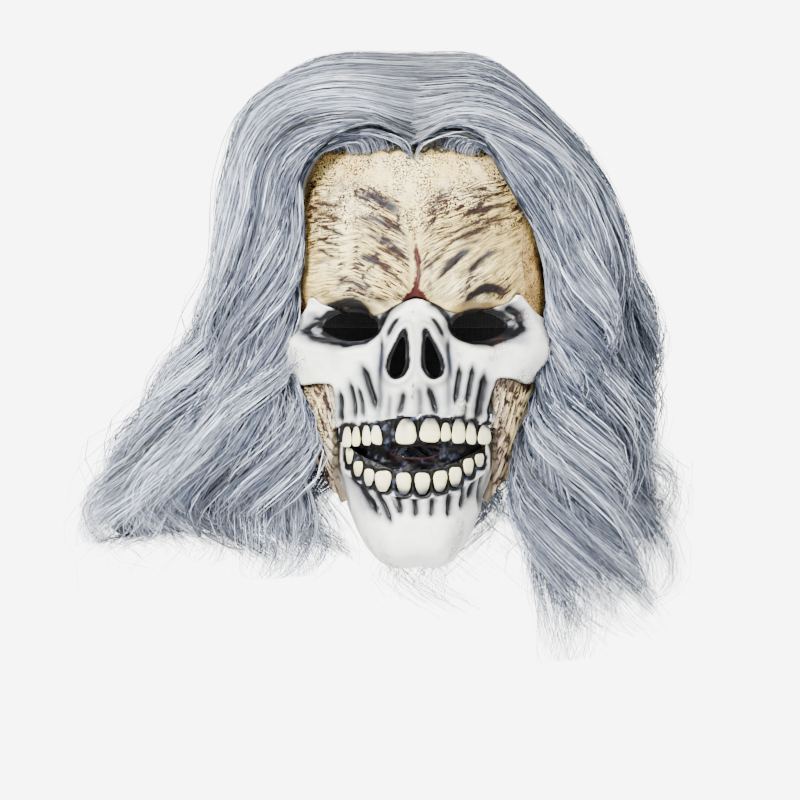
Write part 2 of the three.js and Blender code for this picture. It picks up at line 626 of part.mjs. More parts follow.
// Guides run from the parting to the tips; the first is the edge beside the face, the last is
// the middle of the back. Each point is [x, y, z], with x counted outwards from the parting.
const HAIR_GUIDES = {
  1: [
    [[3, -91, 91], [20, -95, 100], [38, -94, 94], [50, -92, 76], [61, -87, 54], [77, -72, 20],
      [78, -72, -10], [72, -80, -40], [68, -80, -75], [66, -76, -110], [68, -72, -150], [70, -70, -184]],
    [[3, -60, 126], [36, -68, 124], [64, -68, 103], [86, -62, 80], [95, -60, 56], [101, -60, 20],
      [100, -60, -10], [97, -60, -40], [97, -60, -75], [104, -60, -110], [112, -58, -150], [106, -56, -180]],
    [[3, -8, 142], [40, -10, 138], [78, -8, 104], [98, -6, 82], [110, -5, 56], [122, -2, 20],
      [127, 0, -10], [122, 2, -40], [128, 2, -75], [142, 0, -108], [133, -5, -145], [128, -5, -165]],
    [[3, 32, 140], [36, 44, 130], [66, 60, 106], [80, 70, 82], [90, 78, 56], [98, 86, 20],
      [100, 88, -10], [98, 88, -40], [98, 86, -75], [100, 82, -110], [100, 80, -145], [98, 78, -170]],
    [[1.5, 60, 128], [1.5, 84, 112], [1.5, 100, 94], [1.5, 110, 76], [1.5, 117, 56], [1.5, 126, 20],
      [1.5, 128, -10], [1.5, 127, -40], [1.5, 124, -75], [1.5, 120, -110], [1.5, 118, -145],
      [1.5, 116, -175]],
  ],
  [-1]: [
    [[3, -91, 91], [22, -95, 101], [44, -93, 96], [59, -91, 80], [64, -88, 56], [67, -88, 20],
      [71, -84, -10], [74, -80, -40], [66, -78, -75], [56, -74, -105], [52, -70, -125], [58, -68, -138]],
    [[3, -60, 126], [40, -68, 126], [70, -68, 112], [88, -62, 84], [94, -60, 56], [98, -60, 20],
      [102, -60, -10], [108, -60, -40], [114, -60, -75], [120, -60, -105], [110, -58, -128], [104, -56, -140]],
    [[3, -8, 142], [48, -10, 140], [88, -8, 116], [99, -6, 86], [106, -5, 56], [109, -2, 20],
      [117, 0, -10], [138, 2, -40], [160, 2, -75], [176, 0, -105], [178, -5, -126], [160, -5, -138]],
    [[3, 32, 140], [36, 44, 130], [66, 60, 106], [80, 70, 82], [90, 78, 56], [96, 86, 20],
      [100, 88, -10], [106, 88, -40], [114, 86, -75], [120, 82, -105], [118, 80, -130], [110, 78, -150]],
    [[1.5, 60, 128], [1.5, 84, 112], [1.5, 100, 94], [1.5, 110, 76], [1.5, 117, 56], [1.5, 126, 20],
      [1.5, 128, -10], [1.5, 127, -40], [1.5, 124, -75], [1.5, 120, -110], [1.5, 118, -145],
      [1.5, 116, -175]],
  ],
};
const HAIR_THICKNESS = [5, 13, 20, 18, 14]; // at each guide

// The guides are drawn over a cap of these radii, and spread with the cap.
const GUIDE_CAP = new THREE.Vector3(81, 102, 102);

function hairPlace(side, [x, y, z]) {
  const centre = new THREE.Vector3(0, 0, CAP_CENTRE_Z);
  const spread = CAP_RADII.clone().divide(GUIDE_CAP);
  return new THREE.Vector3(x * side, y, z).sub(centre).multiply(spread).add(centre);
}

const hairCurves = Object.fromEntries([-1, 1].map((side) => [side, HAIR_GUIDES[side].map(
  (guide) => new THREE.CatmullRomCurve3(guide.map((point) => hairPlace(side, point))))]));

function hairPoint(side, across, down) {
  const t = THREE.MathUtils.clamp(down, 0, 1);
  const row = hairCurves[side].map((curve) => curve.getPoint(t));
  return new THREE.CatmullRomCurve3(row).getPoint(THREE.MathUtils.clamp(across, 0, 1));
}

const hairThickness = new THREE.SplineCurve(
  HAIR_THICKNESS.map((value, i) => new THREE.Vector2(i, value)));

function hairMass(side) {
  const surface = (across, down) => hairPoint(side, across, down);
  const thin = (across, down) => (
    hairThickness.getPoint(across).y * THREE.MathUtils.clamp(0.45 + down * 3, 0, 1));
  const inner = side > 0 ? (u, v) => thin(u, v) : (u, v) => -thin(u, v);
  return slab(surface, [0.002, 0.998, 10], [0.002, 0.998, 15], inner, () => 0);
}

// Everything that the hair lies on, with the clearance that it keeps.
function headClear() {
  const face = filled((angle, z) => {
    const base = facePoint(angle, z);
    const out = new THREE.Vector3(Math.sin(angle), -Math.cos(angle), 0);
    const front = Math.cos(angle) > 0.1 ? Math.max(reliefAt(angle, z), 0) + BONE_LIFT : 0;
    return base.addScaledVector(out, front + 2.5);
  }, 110, -116, 36, 20);
  const band = box([-120, -160, -160], [120, 0, 160]);
  return face.intersect(band).add(ellipsoid(GAP + TRACK_WALL + 1));
}

const partingSide = (side) => (
  side > 0 ? box([PART_GAP, -200, -300], [300, 200, 300]) : box([-300, -200, -300], [-PART_GAP, 200, 300]));

const fallPivot = (side) => new THREE.Vector3(side * FALL_PIVOT_X, 0, HAIR_SPLIT_Z - HAIR_GAP);

// The crown's space as the swung fall would meet it, which the fall's top keeps out of.
function fallRoof(side) {
  const geometry = new THREE.BoxGeometry(600, 600, 200);
  geometry.translate(0, 0, 100);
  geometry.rotateY(side * FALL_SWING);
  const pivot = fallPivot(side);
  geometry.translate(pivot.x, pivot.y, pivot.z);
  return solid(geometry);
}

function hairPieces() {
  const clear = headClear();
  const far = 300;
  const pieces = [];
  const names = { 1: 'left', [-1]: 'right' };
  let back = null;
  for (const side of [1, -1]) {
    const mass = hairMass(side).subtract(clear).intersect(partingSide(side));
    const hanging = mass.intersect(box([-far, -far, -far], [far, far, HAIR_SPLIT_Z - HAIR_GAP]));
    const crown = mass.intersect(box([-far, -far, HAIR_SPLIT_Z], [far, far, far]));
    const front = hanging.intersect(box([-far, -far, -far], [far, HAIR_SPLIT_FRONT_Y - HAIR_GAP, far]));
    const middle = hanging.intersect(
      box([-far, HAIR_SPLIT_FRONT_Y, -far], [far, HAIR_SPLIT_BACK_Y, far]));
    const rear = hanging.intersect(box([-far, HAIR_SPLIT_BACK_Y + HAIR_GAP, -far], [far, far, far]));
    pieces.push(mesh(`hair_crown_${names[side]}`, crown, HAIR));
    pieces.push(mesh(`hair_fall_${names[side]}`, front.subtract(fallRoof(side)), HAIR));
    pieces.push(mesh(`hair_side_${names[side]}`, middle, HAIR));
    pieces.push(mesh(`hair_back_${names[side]}`, rear, HAIR));
  }
  return pieces;
}

// ---- assembly ----

const mask = new THREE.Group();
mask.add(foreheadSkin(), boneFace());
mask.add(templeSkin('temple_skin_left', 1), templeSkin('temple_skin_right', -1));
mask.add(cheekFlesh('cheek_flesh_left', 1), cheekFlesh('cheek_flesh_right', -1));
mask.add(upperGum(), upperTeeth(), browPad());

const jaw = new THREE.Group();
jaw.add(jawBone(), lowerGum(), lowerTeeth(), mouthBed(), chinPad());

const wig = new THREE.Group();
wig.add(wigCap(), capEdgeElastic(), ...weftTracks(), hairlineBand(), hairlineStitching());
wig.add(...hairPieces());

const harness = new THREE.Group();
harness.add(headStrap(), strapSlider());
harness.add(rivet('rivet_left', 1), rivet('rivet_right', -1));
harness.add(rivetWasher('rivet_washer_left', 1), rivetWasher('rivet_washer_right', -1));

const group = new THREE.Group();
group.add(mask, jaw, wig, harness);

export default group;
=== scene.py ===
"""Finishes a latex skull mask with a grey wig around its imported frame."""

import itertools
import math

import bpy
import numpy as np
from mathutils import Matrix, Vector


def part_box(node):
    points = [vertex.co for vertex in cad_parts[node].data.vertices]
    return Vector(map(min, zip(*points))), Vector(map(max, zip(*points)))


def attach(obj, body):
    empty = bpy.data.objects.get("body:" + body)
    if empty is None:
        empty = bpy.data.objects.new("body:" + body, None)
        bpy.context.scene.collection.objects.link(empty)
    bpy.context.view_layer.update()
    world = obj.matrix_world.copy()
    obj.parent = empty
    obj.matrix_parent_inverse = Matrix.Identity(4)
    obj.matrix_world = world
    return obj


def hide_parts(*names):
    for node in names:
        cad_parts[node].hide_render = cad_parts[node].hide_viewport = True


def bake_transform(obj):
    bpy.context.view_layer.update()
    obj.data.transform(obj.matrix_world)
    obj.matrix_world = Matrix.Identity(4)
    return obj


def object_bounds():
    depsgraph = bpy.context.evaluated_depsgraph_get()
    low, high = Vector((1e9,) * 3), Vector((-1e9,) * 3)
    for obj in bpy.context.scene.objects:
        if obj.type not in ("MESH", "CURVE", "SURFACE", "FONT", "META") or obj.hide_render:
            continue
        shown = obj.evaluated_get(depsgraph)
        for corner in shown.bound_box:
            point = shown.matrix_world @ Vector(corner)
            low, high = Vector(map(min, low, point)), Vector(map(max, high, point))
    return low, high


bl_info = {
    "name": "Latex skull mask",
    "version": (1, 0, 0),
    "blender": (4, 5, 0),
    "location": "3D View > Sidebar > Mask",
    "description": "Sculpts, paints and wigs a latex skull mask",
    "category": "Object",
}

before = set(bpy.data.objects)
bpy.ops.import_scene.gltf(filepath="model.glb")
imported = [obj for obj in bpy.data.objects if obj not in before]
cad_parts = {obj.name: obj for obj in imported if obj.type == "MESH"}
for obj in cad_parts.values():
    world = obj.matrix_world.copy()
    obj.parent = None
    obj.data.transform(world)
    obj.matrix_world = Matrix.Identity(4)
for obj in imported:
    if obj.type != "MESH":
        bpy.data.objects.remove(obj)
CAD_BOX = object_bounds()
METRES = 0.001  # sizes below are in millimetres
CAMERA_AWAY = 3.3  # metres
FACE_AWAY = 0.1
PICTURE_WIDTH = 0.424  # across the picture at the face
SIDES = {"left": 1, "right": -1}
FLOOR_DROP = 1.1  # metres from the lowest hair down to the floor

# ---- sizes that the casting shares with the frame ----
LATEX = 2.6
THINNEST = 0.9  # latex left under the deepest carving
BONE_LIFT = 1.8
EYE = {"x": 35.0, "z": -3.5, "width": 30.0, "height": 15.0}
NOSTRIL = {"x": 8.5, "z": -22.0, "width": 9.5, "height": 20.0, "lean": 0.24}
SLIT = {"z": -71.0, "width": 24.0, "height": 5.0}
JAW_CENTRE_Y = -40.0
CAP_RADII = np.array([81.0, 102.0, 102.0])
CAP_CENTRE = np.array([0, 0, 20.0])
CAP_WALL = 1.6
# Depth and height (y and z) of the cap's rim at the brow and at the nape.
CAP_FRONT = np.array([-74.0, 100.0])
CAP_BACK = np.array([100.0, -46.0])
CAP_SLOPE = (CAP_BACK - CAP_FRONT) / np.linalg.norm(CAP_BACK - CAP_FRONT)
RIM_ELASTIC = {"outer": 0.8, "low": -8.5, "high": -0.5}  # heights are over the cap's rim
WEFT = {"inner": 0.5, "outer": 1.9, "height": 3, "lows": (16, 36, 56, 76)}
SKIN_BACK = -10  # y at which the temples and cheeks stop
TEMPLE_INNER, TEMPLE_LOW, TEMPLE_HIGH = 50, -12, 92
FACE_POWER = 2.6  # 2 would make the head's sections ellipses, more makes them squarer
JAW_POWER = 3

FACE_WIDTHS = [
    (112, 58), (100, 66), (86, 71), (60, 76), (20, 78), (0, 78), (-20, 76), (-45, 70), (-70, 61),
    (-95, 50), (-120, 40),
]
FACE_DEPTHS = [
    (112, 58), (100, 74), (86, 88), (60, 100), (20, 106), (4, 103), (-14, 109), (-35, 112),
    (-60, 111), (-85, 109), (-120, 104),
]
JAW_WIDTHS = [
    (-58, 43), (-78, 42.5), (-88, 39.5), (-98, 36), (-108, 33), (-117, 29), (-125, 24), (-131, 17),
    (-133, 11),
]
JAW_DEPTHS = [
    (-58, 70), (-80, 69), (-95, 67), (-110, 69), (-122, 69), (-129, 62), (-133, 46),
]
BONE_EDGE = [
    (0, 10.5), (9, 8), (18, 3), (30, 3), (42, 5), (50, 9), (54.5, 12.5), (61, 4), (69.5, -3),
    (71, -14), (66, -29), (58, -34.5), (50, -32), (42.5, -33), (41.5, -43), (40.5, -55), (31, -56),
    (15, -52.5), (0, -52), (-15, -53.5), (-30, -57.5), (-40, -57), (-41.5, -44), (-43, -36),
    (-50, -34.5), (-60, -34.5), (-68, -24), (-70.5, -13), (-67, -4), (-58, 2), (-54.5, 11), (-49, 7),
    (-42, 4), (-30, 2), (-18, 2), (-9, 7),
]
FOREHEAD_EDGE = [
    (-57, 7), (-58.5, 26), (-60, 52), (-58, 72), (-53, 88), (-40, 98), (0, 102), (38, 99), (51, 88),
    (57, 72), (58, 52), (57, 26), (56, 7), (36, -4), (0, -6), (-36, -4),
]
CHEEK_EDGE = [
    (30, -112), (40, -95), (48.5, -86), (52, -77), (57, -65), (62, -56), (68, -46), (76, -38),
    (86, -32), (86, -12), (50, -12), (36, -30),
]
JAW_TOP = [
    (-60, -66), (-38, -66), (-36.5, -78), (-27, -88), (-14, -93.5), (0, -95), (14, -93.5),
    (27, -87.5), (36.5, -77), (38, -66), (60, -66), (60, -160), (-60, -160),
]
# Each tooth is middle x, width, low z, high z.
UPPER_TEETH = [
    (-36, 4.9, -68.5, -57.5), (-31.2, 4.5, -68, -57.5), (-25.7, 4.8, -67.5, -57), (-20.5, 6, -67, -56.8),
    (-4.8, 11.2, -66.8, -53.2), (7.8, 11, -65.8, -52.8), (16.2, 5.4, -65.2, -55.5),
    (23, 7.4, -66.4, -53.2), (29.6, 5.4, -66.9, -55), (36.8, 7.2, -66.9, -56.5),
]
LOWER_TEETH = [
    (-34.8, 4, -77.5, -69), (-30.2, 5, -84, -76), (-24.4, 5.4, -89, -80), (-17, 8.8, -92, -81),
    (-6, 8, -93.5, -82), (3.8, 8.2, -93.5, -82), (13.2, 7.4, -92.2, -81), (21.2, 6.6, -89.5, -79),
    (28.2, 5.6, -83.8, -74.5), (34.2, 5, -79, -72),
]
TOOTH_DEPTH = 3.4
MISSING_TOOTH_X = -13.2
UPPER_GUM = {"half_width": 40.5, "low": -66.0, "high": -51.0, "wall": 1.4}
LOWER_GUM = {"half_width": 37.5, "below": 7.8, "above": 7.4, "wall": 1.6}
MOUTH_BED = {"half_width": 35.5, "below": 3.5, "high": -50.0, "wall": 1.8, "depth": 9.0}
GUM_GRID = 0.6  # spacing of the gums' and the bed's sculpted surfaces


# ---- numbers ----

DEPTH_OF_COLOUR = 1.5  # over 1 deepens every colour, because the studio light is strong


def srgb(red, green, blue):
    """A display colour from 0 to 255 as linear light, deepened for the soft studio light."""
    value = np.array([red, green, blue], float) / 255
    return np.where(value < 0.04045, value / 12.92, ((value + 0.055) / 1.055) ** 2.4) ** DEPTH_OF_COLOUR


def corner_value(cell, seed):
    """A repeatable number from 0 to 1 for each whole-number corner."""
    h = cell[..., 0] * 73856093 ^ cell[..., 1] * 19349663 ^ cell[..., 2] * 83492791 ^ seed * 6542989
    h = (h ^ (h >> 13)) * 1274126177 & 0xFFFFFFFF
    h = (h ^ (h >> 15)) * 2246822519 & 0xFFFFFFFF
    return ((h ^ (h >> 16)) & 0xFFFF) / 65535.0


def noise(points, size, seed=0):
    """Smooth noise from -1 to 1 with features of the given size (one number or three)."""
    q = points / np.asarray(size, float)
    base = np.floor(q).astype(np.int64)
    f = q - base
    f = f * f * (3 - 2 * f)
    total = np.zeros(len(points))
    for corner in itertools.product((0, 1), repeat=3):
        c = np.array(corner)
        weight = np.prod(np.where(c == 1, f, 1 - f), axis=-1)
        total += weight * corner_value(base + c, seed)
    return 2 * total - 1


def fractal(points, size, octaves=4, seed=0):
    """Noise with finer and finer noise laid over it."""
    total = np.zeros(len(points))
    for octave in range(octaves):
        total += noise(points, np.asarray(size, float) / 2**octave, seed + octave) / 2**octave
    return total / 1.6


def hill(value, centre, width):
    """A smooth bump of height 1 at the centre."""
    return np.exp(-(((value - centre) / width) ** 2))


def ramp(value, low, high):
    """A smooth climb from 0 at low to 1 at high."""
    t = np.clip((value - low) / (high - low), 0, 1)
    return t * t * (3 - 2 * t)


def mix(colour, other, amount):
    return colour + (np.asarray(other) - colour) * np.clip(amount, 0, 1)[:, None]


def profile(pairs):
    """A smooth curve through (z, value) pairs that are listed from the top down."""
    z, value = np.array(pairs[::-1], float).T
    above = np.minimum(np.arange(len(z)) + 1, len(z) - 1)
    below = np.maximum(np.arange(len(z)) - 1, 0)
    slope = (value[above] - value[below]) / (z[above] - z[below])

    def at(height):
        h = np.clip(height, z[0], z[-1])
        i = np.clip(np.searchsorted(z, h, side="right") - 1, 0, len(z) - 2)
        span = z[i + 1] - z[i]
        t = (h - z[i]) / span
        rise = (2 * t**3 - 3 * t**2 + 1) * value[i] + (3 * t**2 - 2 * t**3) * value[i + 1]
        return rise + span * ((t**3 - 2 * t**2 + t) * slope[i] + (t**3 - t**2) * slope[i + 1])

    return at


# ---- outlines in the front view ----


def smooth_outline(points, steps=6):
    """A closed smooth line through a few points."""
    p = np.array(points, float)
    rows = []
    for i in range(len(p)):
        a, b, c, d = (p[(i + k) % len(p)] for k in (-1, 0, 1, 2))
        for t in np.arange(steps) / steps:
            rows.append(
                0.5 * (2 * b + (c - a) * t + (2 * a - 5 * b + 4 * c - d) * t**2
                       + (3 * b - 3 * c + d - a) * t**3)
            )
    return np.array(rows)


def oval(x, z, width, height, lean=0.0, steps=40, point=1.0):
    """An oval; point under 1 draws its top to a narrower end."""
    angle = np.arange(steps) / steps * 2 * np.pi
    b = np.sin(angle) * height / 2
    a = np.cos(angle) * width / 2 * (1 - (1 - point) * ramp(b, -height / 2, height / 2))
    return np.stack(
        [x + a * math.cos(lean) - b * math.sin(lean), z + a * math.sin(lean) + b * math.cos(lean)],
        axis=-1,
    )


def outline_distance(x, z, outline):
    """Distance to a closed outline, below zero inside it."""
    p = np.stack([x, z], axis=-1)
    best = np.full(len(p), 1e9)
    inside = np.zeros(len(p), bool)
    for a, b in zip(outline, np.roll(outline, -1, axis=0)):
        along = b - a
        t = np.clip(((p - a) @ along) / max(along @ along, 1e-9), 0, 1)
        best = np.minimum(best, np.linalg.norm(p - a - t[:, None] * along, axis=-1))
        if a[1] != b[1]:
            crosses = (a[1] > z) != (b[1] > z)
            inside ^= crosses & (x < a[0] + (z - a[1]) * (b[0] - a[0]) / (b[1] - a[1]))
    return np.where(inside, -best, best)


def stroke_distance(x, z, stroke):
    """Distance to an open line of points, and how far along it (0 to 1) the nearest point is."""
    p = np.stack([x, z], axis=-1)
    best = np.full(len(p), 1e9)
    where = np.zeros(len(p))
    count = len(stroke) - 1
    for i in range(count):
        a, along = stroke[i], stroke[i + 1] - stroke[i]
        t = np.clip(((p - a) @ along) / max(along @ along, 1e-9), 0, 1)
        d = np.linalg.norm(p - a - t[:, None] * along, axis=-1)
        closer = d < best
        best = np.where(closer, d, best)
        where = np.where(closer, (i + t) / count, where)
    return best, where


def bow(start, end, sag, steps=7):
    """A gently bowed line from start to end; sag is its rise across the middle."""
    a, b = np.array(start, float), np.array(end, float)
    t = np.linspace(0, 1, steps)[:, None]
    across = np.array([-(b - a)[1], (b - a)[0]]) / max(np.linalg.norm(b - a), 1e-6)
    return a + (b - a) * t + across * sag * 4 * t * (1 - t)


def groove(x, z, stroke, width):
    """1 along a stroke that fades at its ends and to the sides."""
    d, t = stroke_distance(x, z, stroke)
    taper = np.clip(np.minimum(t, 1 - t) * 4, 0, 1) ** 0.7
    return np.exp(-((d / (width * (0.35 + 0.65 * taper))) ** 2)) * taper


# ---- the head and jaw surfaces ----

face_half_width = profile(FACE_WIDTHS)
face_depth = profile(FACE_DEPTHS)
jaw_half_width = profile(JAW_WIDTHS)
jaw_depth = profile(JAW_DEPTHS)


def ring(angle, half_width, depth, power):
    """A level section of the head; angle 0 is the middle of the face."""
    s, c = np.sin(angle), np.cos(angle)
    reach = (np.abs(s / half_width) ** power + np.abs(c / depth) ** power) ** (-1 / power)
    return reach * s, -reach * c


def face_surface(angle, z):
    x, y = ring(angle, face_half_width(z), face_depth(z), FACE_POWER)
    return np.stack([x, y, z], axis=-1)


def jaw_surface(angle, z):
    x, y = ring(angle, jaw_half_width(z), jaw_depth(z), JAW_POWER)
    return np.stack([x, y + JAW_CENTRE_Y, z], axis=-1)


def on_face(x, z, lift):
    """Points of the sculpted face under front-view places, lifted forwards."""
    share = np.clip(np.abs(x / face_half_width(z)), 0, 0.995)
    depth = -face_depth(z) * (1 - share**FACE_POWER) ** (1 / FACE_POWER)
    return np.stack([x, depth - relief(x, z) - lift, z], axis=-1)


def on_jaw(x, z, lift):
    share = np.clip(np.abs(x / jaw_half_width(z)), 0, 0.97)
    depth = JAW_CENTRE_Y - jaw_depth(z) * (1 - share**JAW_POWER) ** (1 / JAW_POWER)
    return np.stack([x, depth - lift, z], axis=-1)


def relief(x, z):
    """How far the casting stands out of the plain head surface."""
    side = np.abs(x)
    brow = 4 * hill(z, 17, 9) * hill(side, 30, 26)
    socket = -7 * hill(side, EYE["x"], 19) * hill(z, EYE["z"], 11)
    bridge = 13 * hill(x, 0, 12) * hill(z, -12, 15)
    cheekbone = 6 * hill(side, 60, 15) * hill(z, -16, 13)
    muzzle = 2.5 * hill(x, 0, 30) * hill(z, -50, 22)
    return brow + socket + bridge + cheekbone + muzzle


def lower_row(x):
    """Middle height of the lower teeth, which rise towards the corners of the mouth."""
    return -88 + 12.5 * (x / 36) ** 2


EYES = [
    oval(side * EYE["x"], EYE["z"], EYE["width"], EYE["height"]) for side in SIDES.values()
]
NOSTRILS = [
    oval(side * NOSTRIL["x"], NOSTRIL["z"], NOSTRIL["width"], NOSTRIL["height"],
         side * NOSTRIL["lean"], point=0.55)
    for side in SIDES.values()
]
BONE_LINE = smooth_outline(BONE_EDGE)
FOREHEAD_LINE = smooth_outline(FOREHEAD_EDGE)


def pair_gap(x, z, outlines):
    """Distance to the nearer of two outlines."""
    return np.minimum(*[outline_distance(x, z, outline) for outline in outlines])


def eye_gap(x, z):
    return pair_gap(x, z, EYES)


# ---- making meshes ----

SHADED_RAW_LATEX = srgb(156, 130, 98)  # the unpainted inside, darkened as painted shade where it shows past the cut edges
INK = srgb(80, 50, 46)  # of the drawn lines and the stipple


def coat(colour, ink=None, stipple=None, flow=None):
    """Paint for a casting: its colour, where inked lines and stipple lie, and the way lines run."""
    blank = np.zeros(len(colour))
    return {
        "tint": colour,
        "marks": np.stack(
            [blank if ink is None else ink, blank if stipple is None else stipple, blank], -1),
        "flow": np.zeros((len(colour), 3)) if flow is None else flow,
    }


def both_sides(paint, edge=None):
    """Paint for a wall's outer and inner vertices; the inside is raw latex darkened as painted shade, but
    at the cut edge it keeps the outer paint.
    """
    bare = np.full(len(paint["tint"]), 0.85) if edge is None else 0.85 * ramp(-edge, 0.8, 3.0)
    inner = coat(mix(paint["tint"], SHADED_RAW_LATEX, bare))
    return {key: np.concatenate([paint[key], inner[key]]) for key in paint}


def put(name, vertices, faces, paint=None, uv=None):
    """A smooth mesh object at the origin, from vertices in millimetres and faces of one size."""
    data = bpy.data.meshes.new(name)
    sizes = faces.shape[1]
    data.vertices.add(len(vertices))
    data.vertices.foreach_set("co", (np.asarray(vertices) * METRES).astype(np.float32).ravel())
    data.loops.add(faces.size)
    data.loops.foreach_set("vertex_index", faces.astype(np.int32).ravel())
    data.polygons.add(len(faces))
    data.polygons.foreach_set("loop_start", np.arange(0, faces.size, sizes, dtype=np.int32))
    data.update(calc_edges=True)
    for key in ("tint", "marks") if paint else ():
        layer = data.attributes.new(key, "FLOAT_COLOR", "POINT")
        full = np.concatenate([paint[key], np.ones((len(vertices), 1))], axis=1)
        layer.data.foreach_set("color", full.astype(np.float32).ravel())
    if paint:
        layer = data.attributes.new("flow", "FLOAT_VECTOR", "POINT")
        layer.data.foreach_set("vector", paint["flow"].astype(np.float32).ravel())
    if uv is not None:
        layer = data.uv_layers.new(name="OFBake")
        layer.data.foreach_set("uv", uv[faces.ravel()].astype(np.float32).ravel())
    data.polygons.foreach_set("use_smooth", np.ones(len(faces), bool))
    data.validate()
    obj = bpy.data.objects.new(name, data)
    bpy.context.scene.collection.objects.link(obj)
    return obj


def finish_piece(obj, material, body, replaced=()):
    """Gives a piece its material and its body, or fixes it in place where a blend of two bodies is given,
    and hides the nodes it stands for.
    """
    obj.data.materials.append(material)
    if isinstance(body, str):
        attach(obj, body)
    else:
        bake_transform(obj)
    if replaced:
        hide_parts(*replaced)
    return obj


def dress_node(name, material):
    """Gives a frame node that stays in view its material."""
    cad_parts[name].data.materials.clear()
    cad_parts[name].data.materials.append(material)


def normals_of(points):
    """Unit normals of a grid of points, shaped (rows, columns, 3)."""
    normal = np.cross(np.gradient(points, axis=1), np.gradient(points, axis=0))
    return normal / np.maximum(np.linalg.norm(normal, axis=-1, keepdims=True), 1e-9)


def grid_faces(rows, columns):
    index = np.arange(rows * columns).reshape(rows, columns)
    return np.stack(
        [index[:-1, :-1], index[:-1, 1:], index[1:, 1:], index[1:, :-1]], axis=-1
    ).reshape(-1, 4)


def open_edges(faces):
    """The edges that only one face uses, in that face's direction."""
    edges = np.stack([faces, np.roll(faces, -1, axis=1)], axis=-1).reshape(-1, 2)
    key = np.sort(edges, axis=1)
    code = key[:, 0].astype(np.int64) * (faces.max() + 1) + key[:, 1]
    _, first, count = np.unique(code, return_index=True, return_counts=True)
    return edges[first[count == 1]]


def compacted(faces):
    """The vertices that the faces use, and the faces renumbered to them."""
    used, compact = np.unique(faces, return_inverse=True)
    return used, compact.reshape(faces.shape)


def wall_faces(faces, count):
    """A closed wall: the outer faces, the inner ones count vertices on, and the rim between them."""
    rim = open_edges(faces)
    rim_faces = np.stack([rim[:, 1], rim[:, 0], rim[:, 0] + count, rim[:, 1] + count], axis=1)
    return np.concatenate([faces, faces[:, ::-1] + count, rim_faces])


def tube_faces(rows, around):
    """The faces of rings of vertices that close on themselves, and the vertices' numbers."""
    index = np.arange(rows * around).reshape(rows, around)
    turned = np.roll(index, -1, 1)
    quads = np.stack([index[:-1], turned[:-1], turned[1:], index[1:]], -1)
    return quads.reshape(-1, 4), index


def thick_skin(name, surface, us, vs, step, inside, lift, sculpt, wall, paint):
    """A wall of latex on a surface(u, v), trimmed where inside(points) rises above zero.

    The grid is spaced by step millimetres, and its edge vertices are drawn on to the trim line.
    lift(points) is the plain height, sculpt(points) the carved detail added to the outer face."""
    probe = surface(np.linspace(*us, 40), np.full(40, sum(vs) / 2))
    columns = int(np.linalg.norm(np.diff(probe, axis=0), axis=1).sum() / step)
    rows = int(abs(vs[1] - vs[0]) / step)
    u, v = np.meshgrid(np.linspace(*us, columns), np.linspace(*vs, rows))
    du, dv = (us[1] - us[0]) / (columns - 1), (vs[1] - vs[0]) / (rows - 1)
    kept = None
    for _ in range(3):
        base = surface(u.ravel(), v.ravel())
        d = inside(base).reshape(rows, columns)
        if kept is None:
            inner_vertex = (d < 0).ravel()
            faces = grid_faces(rows, columns)
            kept = faces[inner_vertex[faces].any(axis=1)]
            touched = np.zeros(rows * columns, bool)
            touched[kept.ravel()] = True
            moved = (touched & ~inner_vertex).reshape(rows, columns)
        gv, gu = np.gradient(d)
        square = np.maximum(gu**2 + gv**2, 1e-6)
        shift_u = np.clip(-d * gu / square, -0.9, 0.9)
        shift_v = np.clip(-d * gv / square, -0.9, 0.9)
        u = np.where(moved, u + shift_u * du, u)
        v = np.where(moved, v + shift_v * dv, v)
    base = surface(u.ravel(), v.ravel())
    out = normals_of(base.reshape(rows, columns, 3)).reshape(-1, 3)
    middle = base[len(base) // 2]
    if out[len(base) // 2] @ (middle - np.array([0, 0, middle[2]])) < 0:
        out = -out
        kept = kept[:, ::-1]
    height = lift(base)
    sculpt_height = sculpt(base)
    outer = base + out * (height + sculpt_height)[:, None]
    inner = base + out * (height + np.minimum(sculpt_height - THINNEST, -wall))[:, None]
    used, kept = compacted(kept)
    edge = d.ravel()[used]
    vertices = np.concatenate([outer[used], inner[used]])
    coats = both_sides(paint(base[used], edge), edge)
    return put(name, vertices, wall_faces(kept, len(used)), coats)


# ---- materials ----


